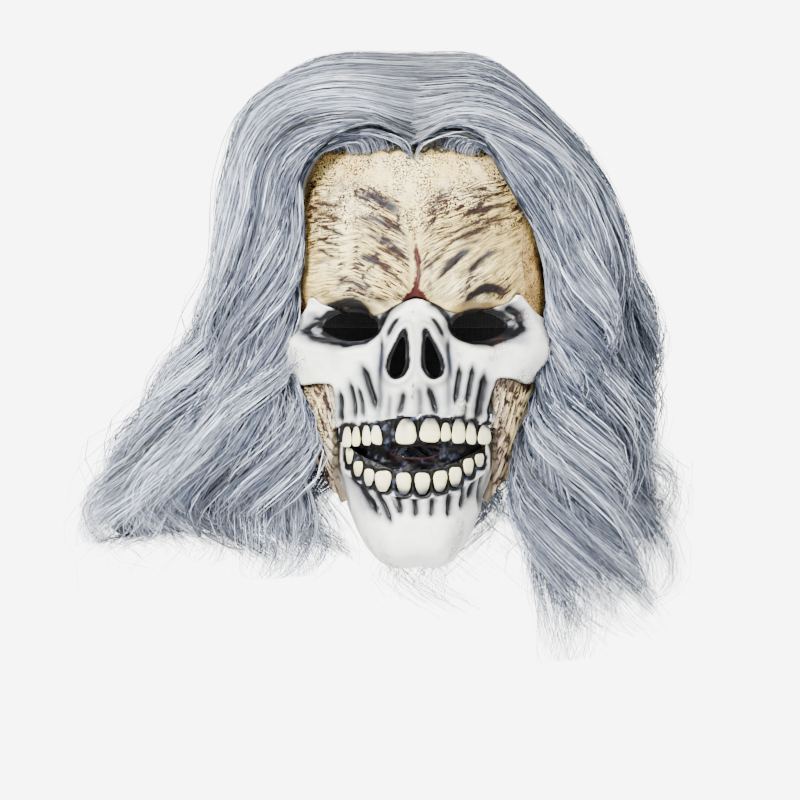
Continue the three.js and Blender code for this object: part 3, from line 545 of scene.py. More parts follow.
class Finish:
    """A procedural material in the making."""

    def __init__(self, name):
        self.material = bpy.data.materials.new(name)
        self.material.use_nodes = True
        self.tree = self.material.node_tree
        self.shader = self.tree.nodes["Principled BSDF"]

    def feed(self, socket, value):
        """Links another node's output in, or sets a plain value."""
        if isinstance(value, bpy.types.NodeSocket):
            self.tree.links.new(value, socket)
        else:
            socket.default_value = value

    def node(self, kind, inputs=()):
        node = self.tree.nodes.new(kind)
        for key, value in dict(inputs).items():
            self.feed(node.inputs[key], value)
        return node

    def place(self):
        return self.node("ShaderNodeTexCoord").outputs["Object"]

    def layer(self, name, kind):
        node = self.node("ShaderNodeAttribute")
        node.attribute_name = name
        return node.outputs[kind]

    def noise(self, scale, source, **inputs):
        return self.node(
            "ShaderNodeTexNoise", {"Scale": scale, "Vector": source, **inputs}).outputs["Fac"]

    def maths(self, operation, *values):
        node = self.node("ShaderNodeMath")
        node.operation = operation
        for socket, value in zip(node.inputs, values):
            self.feed(socket, value)
        return node.outputs[0]

    def spread(self, source, low, high, to_low, to_high):
        """The source with low to high stretched over to_low to to_high."""
        return self.node("ShaderNodeMapRange", {
            "From Min": low, "From Max": high, "To Min": to_low, "To Max": to_high, "Value": source,
        }).outputs["Result"]

    def tones(self, source, dark, light, middle=None, light_at=1.0):
        """A colour between dark and light, by way of a middle one where that is given."""
        node = self.node("ShaderNodeValToRGB", {"Fac": source})
        stops = node.color_ramp.elements
        stops[0].color = (*dark, 1)
        stops[1].color = (*light, 1)
        stops[1].position = light_at
        if middle is not None:
            stops.new(0.45).color = (*middle, 1)
        return node.outputs["Color"]

    def blend(self, mode, amount, first, second):
        node = self.node("ShaderNodeMix")
        node.data_type = "RGBA"
        node.blend_type = mode
        for name, kind, value in (("Factor", "VALUE", amount), ("A", "RGBA", first), ("B", "RGBA", second)):
            self.feed(next(s for s in node.inputs if s.name == name and s.type == kind), value)
        return next(s for s in node.outputs if s.type == "RGBA")

    def shaded(self, colour, shade):
        """The colour multiplied by a plain number."""
        grey = self.node("ShaderNodeCombineColor", {"Red": shade, "Green": shade, "Blue": shade})
        return self.blend("MULTIPLY", 1.0, colour, grey.outputs["Color"])

    def bumps(self, *heights):
        """Stacks bumps: each is (height, strength, distance in millimetres)."""
        last = None
        for height, strength, distance in heights:
            node = self.node(
                "ShaderNodeBump", {"Strength": strength, "Distance": distance * METRES, "Height": height})
            if last is not None:
                self.feed(node.inputs["Normal"], last)
            last = node.outputs["Normal"]
        self.feed(self.shader.inputs["Normal"], last)


def painted_latex(name, roughness, grain, shine, line_width=0.05):
    """Latex that carries its own paint, with inked lines that follow the flow, stipple and grain."""
    latex = Finish(name)
    place = latex.place()
    marks = latex.node("ShaderNodeSeparateColor", {"Color": latex.layer("marks", "Color")})
    inked, stippled = marks.outputs["Red"], marks.outputs["Green"]
    mottle = latex.noise(260, place, Detail=6.0, Roughness=0.6)
    pores = latex.noise(1500, place, Detail=3.0, Roughness=0.6)
    chips = latex.noise(1050, place, Detail=2.0, Roughness=0.55)
    patches = latex.noise(95, place, Detail=2.0)
    lines = latex.noise(1.0, latex.layer("flow", "Vector"), Detail=2.0, Roughness=0.45)
    centred = latex.maths("ABSOLUTE", latex.maths("SUBTRACT", lines, 0.5))
    line = latex.spread(centred, line_width * 0.35, line_width, 1.0, 0.0)
    broken = latex.spread(mottle, 0.36, 0.48, 0.0, 1.0)
    ink = latex.maths("MULTIPLY", latex.maths("MULTIPLY", line, broken), inked)
    dots = latex.maths("MULTIPLY", latex.spread(chips, 0.51, 0.55, 0.0, 1.0),
                       latex.spread(patches, 0.3, 0.5, 0.0, 1.0))
    dots = latex.maths("MULTIPLY", dots, stippled)
    body = latex.shaded(latex.layer("tint", "Color"), latex.spread(mottle, 0.3, 0.7, 0.88, 1.05))
    body = latex.blend("MIX", latex.maths("MAXIMUM", ink, dots), body, (*INK, 1))
    latex.feed(latex.shader.inputs["Base Color"], body)
    rough = latex.spread(mottle, 0.3, 0.7, roughness - 0.07, roughness + 0.09)
    latex.feed(latex.shader.inputs["Roughness"], rough)
    latex.shader.inputs["Specular IOR Level"].default_value = 0.22
    latex.shader.inputs["Coat Weight"].default_value = shine
    latex.shader.inputs["Coat Roughness"].default_value = 0.35
    furrow = latex.maths("MULTIPLY", latex.spread(centred, 0.0, 0.09, 0.0, 1.0), inked)
    latex.bumps((furrow, 0.8, 0.7), (dots, -0.5, 0.25), (mottle, 0.35, 0.6 * grain),
                (pores, 0.3, 0.2 * grain))
    return latex.material


def woven(name, colour, pitch, roughness):
    """Cloth or elastic: crossed threads over object coordinates."""
    cloth = Finish(name)
    place = cloth.place()
    waves = []
    for direction in ("X", "Z"):
        wave = cloth.node("ShaderNodeTexWave", {"Scale": 1 / (pitch * METRES) / 6.3, "Vector": place})
        wave.bands_direction = direction
        waves.append(wave.outputs["Fac"])
    weave = cloth.maths("MULTIPLY", *waves)
    fuzz = cloth.noise(900, place, Detail=4.0)
    mixed = cloth.maths("MULTIPLY_ADD", weave, 0.6, cloth.spread(fuzz, 0.2, 0.8, 0.0, 0.4))
    colour = np.array(colour)
    cloth.feed(cloth.shader.inputs["Base Color"], cloth.tones(mixed, colour * 0.45, colour * 1.5))
    cloth.shader.inputs["Roughness"].default_value = roughness
    cloth.shader.inputs["Sheen Weight"].default_value = 0.2
    cloth.bumps((weave, 0.5, 0.3), (fuzz, 0.3, 0.15))
    return cloth.material


def open_foam(colour):
    """Soft foam with open cells."""
    foam = Finish("open_foam")
    bubbles = foam.node(
        "ShaderNodeTexVoronoi", {"Scale": 900, "Randomness": 1.0, "Vector": foam.place()})
    cells = bubbles.outputs["Distance"]
    colour = np.array(colour)
    foam.feed(foam.shader.inputs["Base Color"],
              foam.tones(cells, colour * 0.35, colour * 1.4, light_at=0.6))
    foam.shader.inputs["Roughness"].default_value = 0.95
    foam.bumps((cells, 0.7, 0.6))
    return foam.material


def worn_hard(name, colour, metallic, roughness, scale):
    """Metal or nylon with brushed scratches and handling marks."""
    hard = Finish(name)
    marks = hard.noise(scale, hard.place(), Detail=8.0, Roughness=0.7)
    colour = np.array(colour)
    hard.feed(hard.shader.inputs["Base Color"], hard.tones(marks, colour * 0.7, colour * 1.15))
    rough = hard.spread(marks, 0.3, 0.7, roughness - 0.08, roughness + 0.14)
    hard.feed(hard.shader.inputs["Roughness"], rough)
    hard.shader.inputs["Metallic"].default_value = metallic
    hard.bumps((marks, 0.15, 0.08))
    return hard.material


def synthetic_hair(name, dark, middle, light, roughness):
    """Synthetic hair: U is a strand's own tone, V runs from its root to its tip."""
    hair = Finish(name)
    uv = hair.node("ShaderNodeUVMap")
    uv.uv_map = "OFBake"
    split = hair.node("ShaderNodeSeparateXYZ", {"Vector": uv.outputs["UV"]})
    tone = hair.tones(split.outputs["X"], dark, light, middle)
    stretch = hair.node("ShaderNodeMapping", {"Scale": (9.0, 0.8, 1.0), "Vector": uv.outputs["UV"]})
    streak = hair.node("ShaderNodeTexNoise")
    streak.noise_dimensions = "2D"
    streak.inputs["Scale"].default_value = 14.0
    hair.feed(streak.inputs["Vector"], stretch.outputs["Vector"])
    fine = hair.spread(streak.outputs["Fac"], 0.32, 0.68, 0.5, 1.35)
    root = hair.spread(split.outputs["Y"], 0.0, 0.34, 0.34, 1.0)
    body = hair.shaded(tone, hair.maths("MULTIPLY", fine, root))
    hair.feed(hair.shader.inputs["Base Color"], body)
    hair.shader.inputs["Roughness"].default_value = roughness
    hair.shader.inputs["Specular IOR Level"].default_value = 0.7
    return hair.material


# ---- paint and sculpture of each casting ----

CREAM = srgb(242, 222, 164)
PALE_CREAM = srgb(250, 238, 196)
TAN = srgb(206, 170, 118)
BROWN = srgb(74, 62, 60)
SMUDGE = srgb(90, 93, 102)
BLOOD = srgb(98, 44, 42)
BONE = srgb(250, 251, 247)
BONE_GREY = srgb(92, 98, 116)
BLACK = srgb(20, 21, 28)
ENAMEL = srgb(246, 242, 200)
SINEW = srgb(226, 196, 150)


def brow_flow(p):
    """Along and across the furrows, which climb outwards from the middle of the brow."""
    x, z = p[:, 0] + 1.2 * noise(p, 11, 3), p[:, 2] + 1.0 * noise(p, 9, 4)
    side = np.abs(x)
    steep = np.clip(0.34 + (40 - (z - 0.45 * side)) * 0.014, 0.3, 0.85)
    climb = np.where(x > 0, steep * side, 0.48 * np.minimum(side, 31) - 0.12 * np.maximum(side - 31, 0))
    across = z - climb + 4.5 * np.exp(-side / 4)
    return side, across + np.where(x > 0, 0, 300)


# Broad airbrushed strokes on the brow: stroke, width, strength and colour.
SMUDGES = [
    (bow((-31, 67), (-6, 54), 1.5), 3.0, 1.0, SMUDGE),
    (bow((-33, 54), (-4, 41), 3.5), 1.5, 0.85, SMUDGE),
    (bow((-28, 51), (-14, 44), 1.0), 1.6, 0.6, SMUDGE),
    (bow((-29, 44), (-5, 33), 3.0), 1.9, 0.7, SMUDGE),
    (bow((-18, 38), (-3, 29), 1.5), 1.3, 0.95, BROWN),
    (bow((-29, 32), (-11, 25), 1.0), 1.7, 1.0, BROWN),
    (bow((-30, 33), (-18, 29), 0.6), 1.8, 0.9, SMUDGE),
    (bow((-44, 22), (-21, 13), 1.5), 2.2, 0.7, SMUDGE),
    (bow((-24, 13), (-12, 4), 0.5), 2.2, 0.5, SMUDGE),
    (bow((19, 68), (6, 54), -1.0), 2.1, 0.7, SMUDGE),
    (bow((52, 60), (28, 54), -1.2), 0.8, 0.95, BROWN),
    (bow((52, 56), (10, 39), -2.5), 0.9, 0.9, BROWN),
    (bow((42, 47), (22, 40), -1.2), 1.8, 0.8, BROWN),
    (bow((38, 42), (20, 36), -0.8), 1.3, 0.6, SMUDGE),
    (bow((16, 34), (3, 23), -1.0), 1.9, 0.75, BROWN),
    (bow((32, 38), (12, 22), -1.5), 1.9, 1.0, SMUDGE),
    (bow((28, 34), (10, 18), -1.0), 1.3, 0.9, BLACK),
    (bow((46, 38), (27, 21), -2.0), 1.9, 0.95, SMUDGE),
    (bow((44, 35), (28, 22), -2.0), 1.2, 0.8, BROWN),
    (bow((51, 66), (29, 63), -0.9), 0.9, 1.0, BLACK),
    (bow((54, 62), (22, 52), -1.8), 0.9, 1.0, BROWN),
    (bow((55, 54), (34, 49), -1.0), 0.9, 1.0, BROWN),
    (bow((45, 51), (13, 36), -1.6), 0.9, 1.0, BROWN),
    (bow((13, 55), (4, 43), -0.6), 0.9, 1.0, BLACK),
    (bow((-25, 56), (-4, 42), 2.2), 0.9, 1.0, BLACK),
    (bow((-24, 38), (-4, 27), 1.6), 0.9, 1.0, BLACK),
    (bow((-22, 29), (-4, 16), 1.0), 0.9, 1.0, BLACK),
    (bow((-56, 61), (-37, 59), 0.5), 0.9, 1.0, BROWN),
    (bow((-55, 56), (-38, 52), 0.5), 0.9, 1.0, BLACK),
    (bow((-55, 50), (-37, 43), 0.8), 0.9, 1.0, BLACK),
    (bow((-54, 44), (-38, 38), -0.6), 0.9, 1.0, BROWN),
    (bow((-52, 37), (-42, 31), 0.5), 0.9, 1.0, BLACK),
]
# Black strokes under the brows, painted shadow of the brow over each eye, also carved as shallow grooves:
# each stroke and its width.
BROW_SHADOW_ARCHES = [
    (np.array([(-49, 3), (-45, 6), (-38, 8), (-30, 6.6), (-22, 1.5)], float), 3.3),
    (np.array([(25, 6), (29, 12.5), (36, 16), (44, 15), (49, 10)], float), 3.0),
]


def crease_width(z):
    """Half the width of the raw split up the middle of the brow."""
    return 0.45 + 1.3 * ramp(-z, -46, -30) + 6.5 * ramp(-z, -17, -8)


def crease_centre(p):
    return p[:, 0] + 1.0 * noise(p, 9, 5) - 1.5 * hill(p[:, 2], 26, 9)


def furrowed(p):
    """How strongly each place on the brow is furrowed."""
    x, z = p[:, 0], p[:, 2]
    side = np.abs(x)
    reach = ramp(72 - z + 0.2 * side, 0, 12) * ramp(z, 5, 14) * ramp(side, 1, 5)
    gap = 1 - 0.6 * hill(x, -35, 4) * ramp(z, 18, 30)
    smooth_spot = 1 - 0.8 * hill(x, -12, 10) * hill(z, 75, 14)
    patchy = 0.45 + 0.55 * ramp(noise(p, 15, 6), -0.35, 0.2)
    left_end = hill(x, -47, 9) * hill(z, 46, 15)
    edge = ramp(60 - side, 0, 5)
    return reach * gap * smooth_spot * edge * np.maximum(patchy, left_end)


def furrow_rows(q):
    """0 in the brow's narrow furrows, for places given along and across them."""
    return np.abs(noise(q, (16, 3.6, 9), 7))


def forehead_sculpt(p):
    x, z = p[:, 0], p[:, 2]
    side, across = brow_flow(p)
    q = np.stack([side, across, np.zeros(len(p))], axis=-1)
    rows = furrow_rows(q)
    broad = np.abs(noise(q, (24, 9, 9), 8))
    height = furrowed(p) * (1.5 * rows**0.7 + 1.4 * broad**0.8 - 1.2)
    for stroke, width, strength, _ in SMUDGES:
        height -= 0.9 * strength * groove(x, z, stroke, width)
    split = np.exp(-((np.abs(crease_centre(p)) / (crease_width(z) + 0.8)) ** 2))
    height -= 2.2 * split * ramp(60 - z, 0, 14)
    height += 1.3 * hill(side, 9, 6) * hill(z, 30, 24)
    height += 0.9 * fractal(p, 13, 3, 21) + 0.3 * fractal(p, 3.0, 3, 22)
    eye = eye_gap(x, z)
    arches = np.zeros(len(p))
    for stroke, width in BROW_SHADOW_ARCHES:
        arches = np.maximum(arches, groove(x, z, stroke, width))
    return height - 2.2 * hill(eye, 0, 2.2) + 1.4 * hill(eye, 6, 3) - 1.6 * arches


def forehead_paint(p, edge):
    x, z = p[:, 0], p[:, 2]
    side, across = brow_flow(p)
    colour = np.tile(CREAM, (len(p), 1))
    colour = mix(colour, PALE_CREAM, ramp(fractal(p, 16, 3, 52), -0.3, 0.6))
    colour = mix(colour, TAN, 0.6 * ramp(side + 5 * noise(p, 12, 53), 48, 62))
    colour = mix(colour, TAN, 0.5 * ramp(z + 9 * noise(p, 9, 54), 68, 94) * ramp(side, 8, 40))
    q = np.stack([side, across, np.zeros(len(p))], axis=-1)
    valley = 1 - ramp(furrow_rows(q), 0.03, 0.2)
    worn = ramp(fractal(p, 2.4, 2, 51), -0.4, 0.2)
    colour = mix(colour, BROWN, 1.4 * valley * furrowed(p) * worn)
    for stroke, width, strength, ink in SMUDGES:
        wash = groove(x + 0.7 * noise(p, 3, 59), z + 0.6 * noise(p, 2, 50), stroke, width)
        streak = 0.72 + 0.28 * ramp(noise(q, (9, 1.0, 9), 60), -0.4, 0.3)
        colour = mix(colour, ink, 1.45 * wash * strength * streak)
    split = 1 - ramp(np.abs(crease_centre(p)) + 0.9 * noise(p, 1.4, 61), crease_width(z) - 0.6,
                     crease_width(z) + 0.5)
    colour = mix(colour, BLOOD, split * ramp(50 - z, 0, 4))
    eye = eye_gap(x, z)
    # Painted shade under the brow: the skin darkens towards the top of each eye hole, and the brow shadow
    # strokes are painted black.
    lid_shade = ramp(5.5 - eye + 1.5 * noise(p, 4, 62), 0, 3)
    colour = mix(colour, TAN * 0.45, 0.8 * lid_shade * ramp(z, 1, 6))
    for stroke, width in BROW_SHADOW_ARCHES:
        brow_shadow = groove(x + 0.8 * noise(p, 3, 63), z + 0.8 * noise(p, 3, 64), stroke, width)
        colour = mix(colour, BLACK, 1.6 * brow_shadow)
    colour = mix(colour, BLACK, ramp(2.2 - eye, 0, 1.4))
    # Painted shadow of the bone's raised edge: black along the bone line, away from the middle.
    bone_edge_shadow = ramp(1.6 - outline_distance(x, z, BONE_LINE), 0, 1.4)
    colour = mix(colour, BLACK, 0.8 * bone_edge_shadow * ramp(side, 8, 14))
    stipple = 1.5 * ramp(z + 9 * noise(p, 12, 56), 46, 58) + 0.3
    stipple = stipple * (1 - 0.9 * hill(x, -18, 9) * hill(z, 76, 9))
    flow = np.stack([side / 15, across / 1.9, np.zeros(len(p))], axis=-1)
    ink = np.clip(1.5 * furrowed(p), 0, 1)
    return coat(colour, ink=ink, stipple=np.clip(stipple, 0, 1), flow=flow)


# Upright grooves between the tooth roots: top, foot, width and darkness.
UPPER_GROOVES = [
    ((-28, -26), (-20.5, -48), 1.7, 1.0), ((-35, -34), (-31, -53), 1.3, 0.85),
    ((-30.5, -37), (-27, -52), 1.2, 0.85), ((-40, -39), (-38.5, -55), 1.3, 0.9),
    ((-18.5, -14), (-19, -54), 1.9, 0.6), ((16.5, -8), (17, -53), 2.0, 0.55),
    ((23.2, -26), (20, -45), 1.4, 1.0), ((30, -26), (27, -45), 1.4, 1.0),
    ((36.5, -30), (32, -53), 2.2, 1.0), ((42.5, -36), (37.5, -55), 1.5, 1.0),
    ((44, -43), (42, -56), 1.0, 0.9), ((-6.5, -39), (-9, -51), 1.5, 0.8),
    ((1.6, -36), (1.8, -53), 2.0, 0.6), ((6, -37), (11, -51), 1.6, 0.95),
    ((-13.5, -40), (-14, -54), 1.4, 0.55), ((26, -45), (25, -54), 1.2, 0.6),
]
LOWER_GROOVES = [
    ((-37, -80), (-21.5, -104), 2.1, 0.95), ((-33, -88), (-25, -104), 1.2, 0.5),
    ((-21.5, -92), (-13.5, -108), 1.5, 0.95), ((-11, -91), (-8, -104), 1.4, 0.8),
    ((-1.5, -94), (-0.5, -105), 1.5, 0.85), ((8.5, -95), (8, -105), 1.5, 0.85),
    ((18, -93), (17.7, -105), 1.5, 0.95), ((25.5, -89), (25, -101), 1.3, 0.85),
    ((31.5, -84), (29, -96), 1.4, 0.9), ((36, -79), (33.5, -99), 1.1, 0.75),
]


def flutes(p, grooves, spread=1.0):
    """Depth of the grooves between the roots, from 0 to each one's own darkness."""
    x = p[:, 0] + 0.5 * noise(p, 6, 71)
    best = np.zeros(len(p))
    for top, foot, width, dark in grooves:
        run = 0.16 * (np.array(top, float) - np.array(foot, float))  # each groove fades past its ends
        line = bow(top + run, foot - run, 0.8)
        best = np.maximum(best, dark * groove(x, p[:, 2], line, width * spread))
    return best


def fluted(p, grooves):
    """How far the skin sinks in the grooves and beside them."""
    return -2.2 * flutes(p, grooves) - 1.6 * flutes(p, grooves, 2.4)


def white_bone(p, cream, seed, grooves):
    """White paint with creamy patches, which turns grey and then black into the grooves."""
    colour = np.tile(BONE, (len(p), 1))
    colour = mix(colour, cream, 0.6 * ramp(fractal(p, 12, 3, seed), -0.2, 0.6))
    colour = mix(colour, BONE_GREY, 0.35 * flutes(p, grooves, 4.0))
    colour = mix(colour, BONE_GREY, flutes(p, grooves, 2.2))
    return mix(colour, BLACK, ramp(flutes(p, grooves, 1.3), 0.25, 0.75))


def tooth_gap(x, z, teeth):
    """Distance to the nearest tooth's outline, below zero on the tooth."""
    best = np.full(len(x), 99.0)
    for middle, width, low, high in teeth:
        a, b = width / 2, (high - low) / 2
        q = np.stack([(x - middle) / a, (z - (low + high) / 2) / b], axis=-1)
        reach = (np.abs(q) ** 3).sum(axis=-1) ** (1 / 3)
        best = np.minimum(best, (reach - 1) * min(a, b))
    return best


# The dark rings round the sockets, which start beside the bridge of the nose.
SOCKET_RINGS = [
    np.array([(-9, 9), (-15, 3), (-20, -5), (-27, -12), (-38, -14), (-50, -11.5), (-56, -7),
              (-53, -1)], float),
    np.array([(10, 8), (17, 1), (22, -6), (31, -11.5), (41, -13.5), (50, -10.5), (55.5, -5),
              (55, 2), (50, 5)], float),
]
# Small knobs at the sockets' outer corners: middle x, middle z and radius.
CORNER_NODULES = [(-51.2, -7.2, 2.7), (51.4, -2.6, 2.1)]
NOSE_RIMS = [
    oval(side * 8.1, -21.2, 14.4, 23.5, side * 0.24, point=0.5) for side in SIDES.values()
]


def ring_gap(x, z):
    return np.minimum(*[stroke_distance(x, z, ring)[0] for ring in SOCKET_RINGS])


def nodules(x, z):
    best = np.zeros(len(x))
    for middle, height, radius in CORNER_NODULES:
        best = np.maximum(best, np.clip(1 - np.hypot(x - middle, z - height) / radius, 0, 1))
    return best


def bone_sculpt(p):
    x, z = p[:, 0], p[:, 2]
    side, eye, rim = np.abs(x), eye_gap(x, z), pair_gap(x, z, NOSE_RIMS)
    height = fluted(p, UPPER_GROOVES)
    height -= 1.6 * hill(ring_gap(x, z), 0, 2.2) + 1.5 * hill(eye, 0, 3.0)
    height += 1.3 * hill(ring_gap(x, z), 5.0, 2.4) * ramp(eye, 3, 6) + 1.4 * nodules(x, z) ** 0.6
    height += 1.3 * hill(rim, 2.2, 1.8) - 2.6 * ramp(-rim, -0.4, 1.4) + 0.8 * hill(rim, -2.2, 0.7)
    height += 1.0 * hill(side, 17, 3.5) * hill(z, -20, 16) + 0.5 * fractal(p, 9, 3, 81)
    height += 2.6 * hill(side, 60, 9) * hill(z, -16, 13) - 2.0 * hill(side, 44, 7) * hill(z, -27, 8)
    height += 1.3 * hill(side, 36, 9) * hill(z, -19, 4)
    return height + 1.2 * hill(tooth_gap(x, z, UPPER_TEETH), 3.4, 1.4)


def bone_paint(p, edge):
    x, z = p[:, 0], p[:, 2]
    side, eye, rim, ring = np.abs(x), eye_gap(x, z), pair_gap(x, z, NOSE_RIMS), ring_gap(x, z)
    colour = white_bone(p, srgb(240, 239, 222), 82, UPPER_GROOVES)
    for sign in SIDES.values():
        wing = groove(x, z, bow((sign * 7, -1), (sign * 15, -13), sign), 2.0)
        line = groove(x, z, bow((sign * 18, -8), (sign * 19.5, -34), -1.5 * sign), 1.5)
        colour = mix(colour, BLACK * 2, 1.3 * wing)
        colour = mix(colour, BLACK * 2, 1.1 * line)
    halo = ramp(6.5 - ring + 1.5 * noise(p, 7, 83), 0, 5)
    colour = mix(colour, BONE_GREY, 0.75 * halo)
    colour = mix(colour, BLACK, 1.2 * ramp(2.9 - ring + 0.7 * noise(p, 4, 84), 0, 2.4))
    colour = mix(colour, BLACK, ramp(3.6 - eye + 0.6 * noise(p, 4, 184), 0, 1.6))
    streaks = ramp(noise(p, (7, 7, 1.2), 185), 0.1, 0.6)
    colour = mix(colour, SMUDGE * 0.8, 0.5 * streaks * ramp(3 - ring, 0, 1))
    colour = mix(colour, srgb(140, 144, 150), ramp(nodules(x, z), 0.25, 0.5))
    colour = mix(colour, BLACK, ramp(0.9 - rim + 0.3 * noise(p, 3, 85), 0, 0.8))
    glint = hill(rim, -2.2, 0.45) * ramp(noise(p, 5, 186), -0.3, 0.4)
    colour = mix(colour, srgb(120, 126, 140), 0.6 * glint)
    colour = mix(colour, BONE_GREY, 0.4 * hill(rim, 3, 1.8))
    tooth = tooth_gap(x, z, UPPER_TEETH)
    colour = mix(colour, BLACK, ramp(1.8 - tooth + 0.4 * noise(p, 2, 86), 0, 0.9))
    crack = groove(x + 0.7 * noise(p, 2.2, 89), z, bow((-1.4, -33), (-1.4, -45), 0.6), 0.6)
    crack = np.maximum(crack, groove(x, z, bow((-1.5, 2.5), (-1.2, -3.5), 0.3), 0.55))
    colour = mix(colour, BROWN * 0.6, 1.3 * crack * ramp(noise(p, 1.8, 90), -0.4, 0.1))
    # Painted shade under the cheekbones: the bone darkens brown along its lower edge over the cheeks.
    cheekbone_shade = ramp(side, 38, 44) * ramp(-z, 20, 30)
    colour = mix(colour, BROWN * 0.6, 0.75 * ramp(edge, -1.3, -0.2) * cheekbone_shade)
    specks = ramp(noise(p, 11, 88), 0.25, 0.6) * ramp(side, 16, 26)
    return coat(colour, stipple=0.8 * specks)


def fibre_flow(p):
    """Along and across the cheek's fibres, which run down and in towards the chin."""
    sign = np.sign(p[:, 0])
    across = np.abs(p[:, 0]) + 0.36 * (-60 - p[:, 2]) + 1.6 * noise(p, (12, 12, 30), 101)
    return p[:, 2], across + 200 * (sign > 0)


def fibre_rows(p):
    """0 in the furrows between the cheek's cords and 1 on the cords."""
    along, across = fibre_flow(p)
    q = np.stack([along, across + 1.5 * noise(p, (99, 99, 16), 107), np.zeros(len(p))], axis=-1)
    broad = np.abs(np.sin(q[:, 1] * 1.05 + 1.2 * noise(q, (34, 5, 9), 102)))
    fine = np.abs(noise(q, (26, 1.7, 9), 103))
    return np.clip(np.minimum(1.1 * broad**0.6, 0.3 + 1.3 * fine**0.5), 0, 1)


def cheek_sculpt(p):
    return 3.6 * (fibre_rows(p) - 0.62) + 0.3 * fractal(p, 5, 2, 104)


def cheek_paint(p, edge):
    cord = fibre_rows(p)
    along, across = fibre_flow(p)
    colour = np.tile(SINEW, (len(p), 1))
    colour = mix(colour, PALE_CREAM, ramp(cord, 0.55, 0.95))
    colour = mix(colour, TAN, 0.6 * ramp(noise(p, 9, 105), 0.1, 0.8))
    colour = mix(colour, srgb(206, 204, 200), 0.4 * ramp(50 - np.abs(p[:, 0]), 0, 4))
    colour = mix(colour, BROWN * 0.55, ramp(0.54 - cord, 0, 0.22))
    # Painted shade: the top of the cheek darkens under the overhanging bone, and the cheek darkens along
    # its cut edge.
    under = ramp(p[:, 2], -41, -33) * ramp(75 - np.abs(p[:, 0]), 0, 14)
    colour = mix(colour, BROWN * 0.35, 0.75 * under)
    colour = mix(colour, BROWN * 0.5, 0.5 * ramp(edge, -1.2, -0.2))
    flow = np.stack([along / 18, across / 1.5, np.zeros(len(p))], axis=-1)
    return coat(colour, ink=np.ones(len(p)), stipple=np.full(len(p), 0.1), flow=flow)


def temple_sculpt(p):
    return 0.7 * fractal(p, 10, 3, 111) + 0.3 * (1 - np.abs(fractal(p, 5, 3, 112))) ** 3


def temple_paint(p, edge):
    colour = np.tile(srgb(214, 188, 134), (len(p), 1))
    colour = mix(colour, TAN * 0.6, ramp(fractal(p, 11, 3, 113), -0.2, 0.6))
    # Painted shade along the temple's cut edge, beside the forehead's step.
    colour = mix(colour, BROWN, 0.5 * ramp(edge, -1.0, 0))
    return coat(colour, stipple=np.full(len(p), 0.9))


def jaw_sculpt(p):
    x, z = p[:, 0], p[:, 2]
    height = fluted(p, LOWER_GROOVES)
    height += 2.8 * hill(np.abs(x - 2), 12, 7) * hill(z, -122, 9) - 1.1 * hill(x, 2, 4) * hill(z, -130, 5)
    height += 1.0 * hill(tooth_gap(x, z, LOWER_TEETH), 2.4, 1.3)
    return height + 0.5 * fractal(p, 10, 3, 121) + 0.8 * hill(z, -100, 5) * hill(np.abs(x), 34, 6)


def jaw_paint(p, edge):
    x, z = p[:, 0], p[:, 2]
    colour = white_bone(p, srgb(240, 240, 224), 122, LOWER_GROOVES)
    tooth = tooth_gap(x, z, LOWER_TEETH)
    colour = mix(colour, BLACK, ramp(1.9 - tooth + 0.4 * noise(p, 2, 123), 0, 0.9))
    for top, foot in (((-13.5, -94), (-9, -109)), ((-25, -95), (-18, -106))):
        crack = groove(x + 1.0 * noise(p, 2.4, 124), z, bow(top, foot, 1.0), 0.9)
        colour = mix(colour, BROWN * 0.6, 1.3 * crack * ramp(noise(p, 1.8, 126), -0.3, 0.2))
    return coat(colour, stipple=0.8 * ramp(noise(p, 12, 128), 0.2, 0.6))


def black_paint(p, edge):
    """Black rubber with a dry-brushed blue-grey bloom on its lumps."""
    colour = np.tile(BLACK * 0.6, (len(p), 1))
    bloom = ramp(fractal(p, 1.9, 3, 131), 0.1, 0.6) * ramp(noise(p, 9, 132), -0.4, 0.5)
    return coat(mix(colour, srgb(110, 116, 138), 0.9 * bloom))


def gum_paint(p, edge, teeth, rooted):
    """Black round the teeth, and bone away from them on the side of their roots."""
    gum = black_paint(p, edge)
    bare = ramp(tooth_gap(p[:, 0], p[:, 2], teeth), 1.5, 2.1) * rooted
    gum["tint"] = mix(gum["tint"], BONE, bare)
    return gum


def upper_gum_paint(p, edge):
    """Bone above the teeth, but black in the gap in the row."""
    in_gap = ramp(np.abs(p[:, 0] - MISSING_TOOTH_X), 4.5, 5.5)
    return gum_paint(p, edge, UPPER_TEETH, ramp(p[:, 2], -62, -59) * in_gap)


def lower_gum_paint(p, edge):
    return gum_paint(p, edge, LOWER_TEETH, ramp(lower_row(p[:, 0]) - p[:, 2], 1.5, 3.5))


def bed_paint(p, edge):
    bed = black_paint(p, edge)
    d = outline_distance(p[:, 0], p[:, 2], oval(0, SLIT["z"], SLIT["width"], SLIT["height"]))
    bed["tint"] = mix(bed["tint"], srgb(70, 8, 14), 0.7 * ramp(4.5 - d, 0, 4))
    return bed


# ---- settings ----


def colour_property(name, description, default):
    return bpy.props.FloatVectorProperty(
        name=name, description=description, subtype="COLOR", size=3, min=0, max=1,
        default=[float(v) for v in default])


class MaskSkinSettings(bpy.types.PropertyGroup):
    """How the castings are sculpted."""

    grid: bpy.props.FloatProperty(
        name="Sculpt grid", description="Spacing of the sculpted surface", default=0.00066, unit="LENGTH")
    wall: bpy.props.FloatProperty(
        name="Wall", description="Thickness of the latex", default=LATEX * METRES, unit="LENGTH")


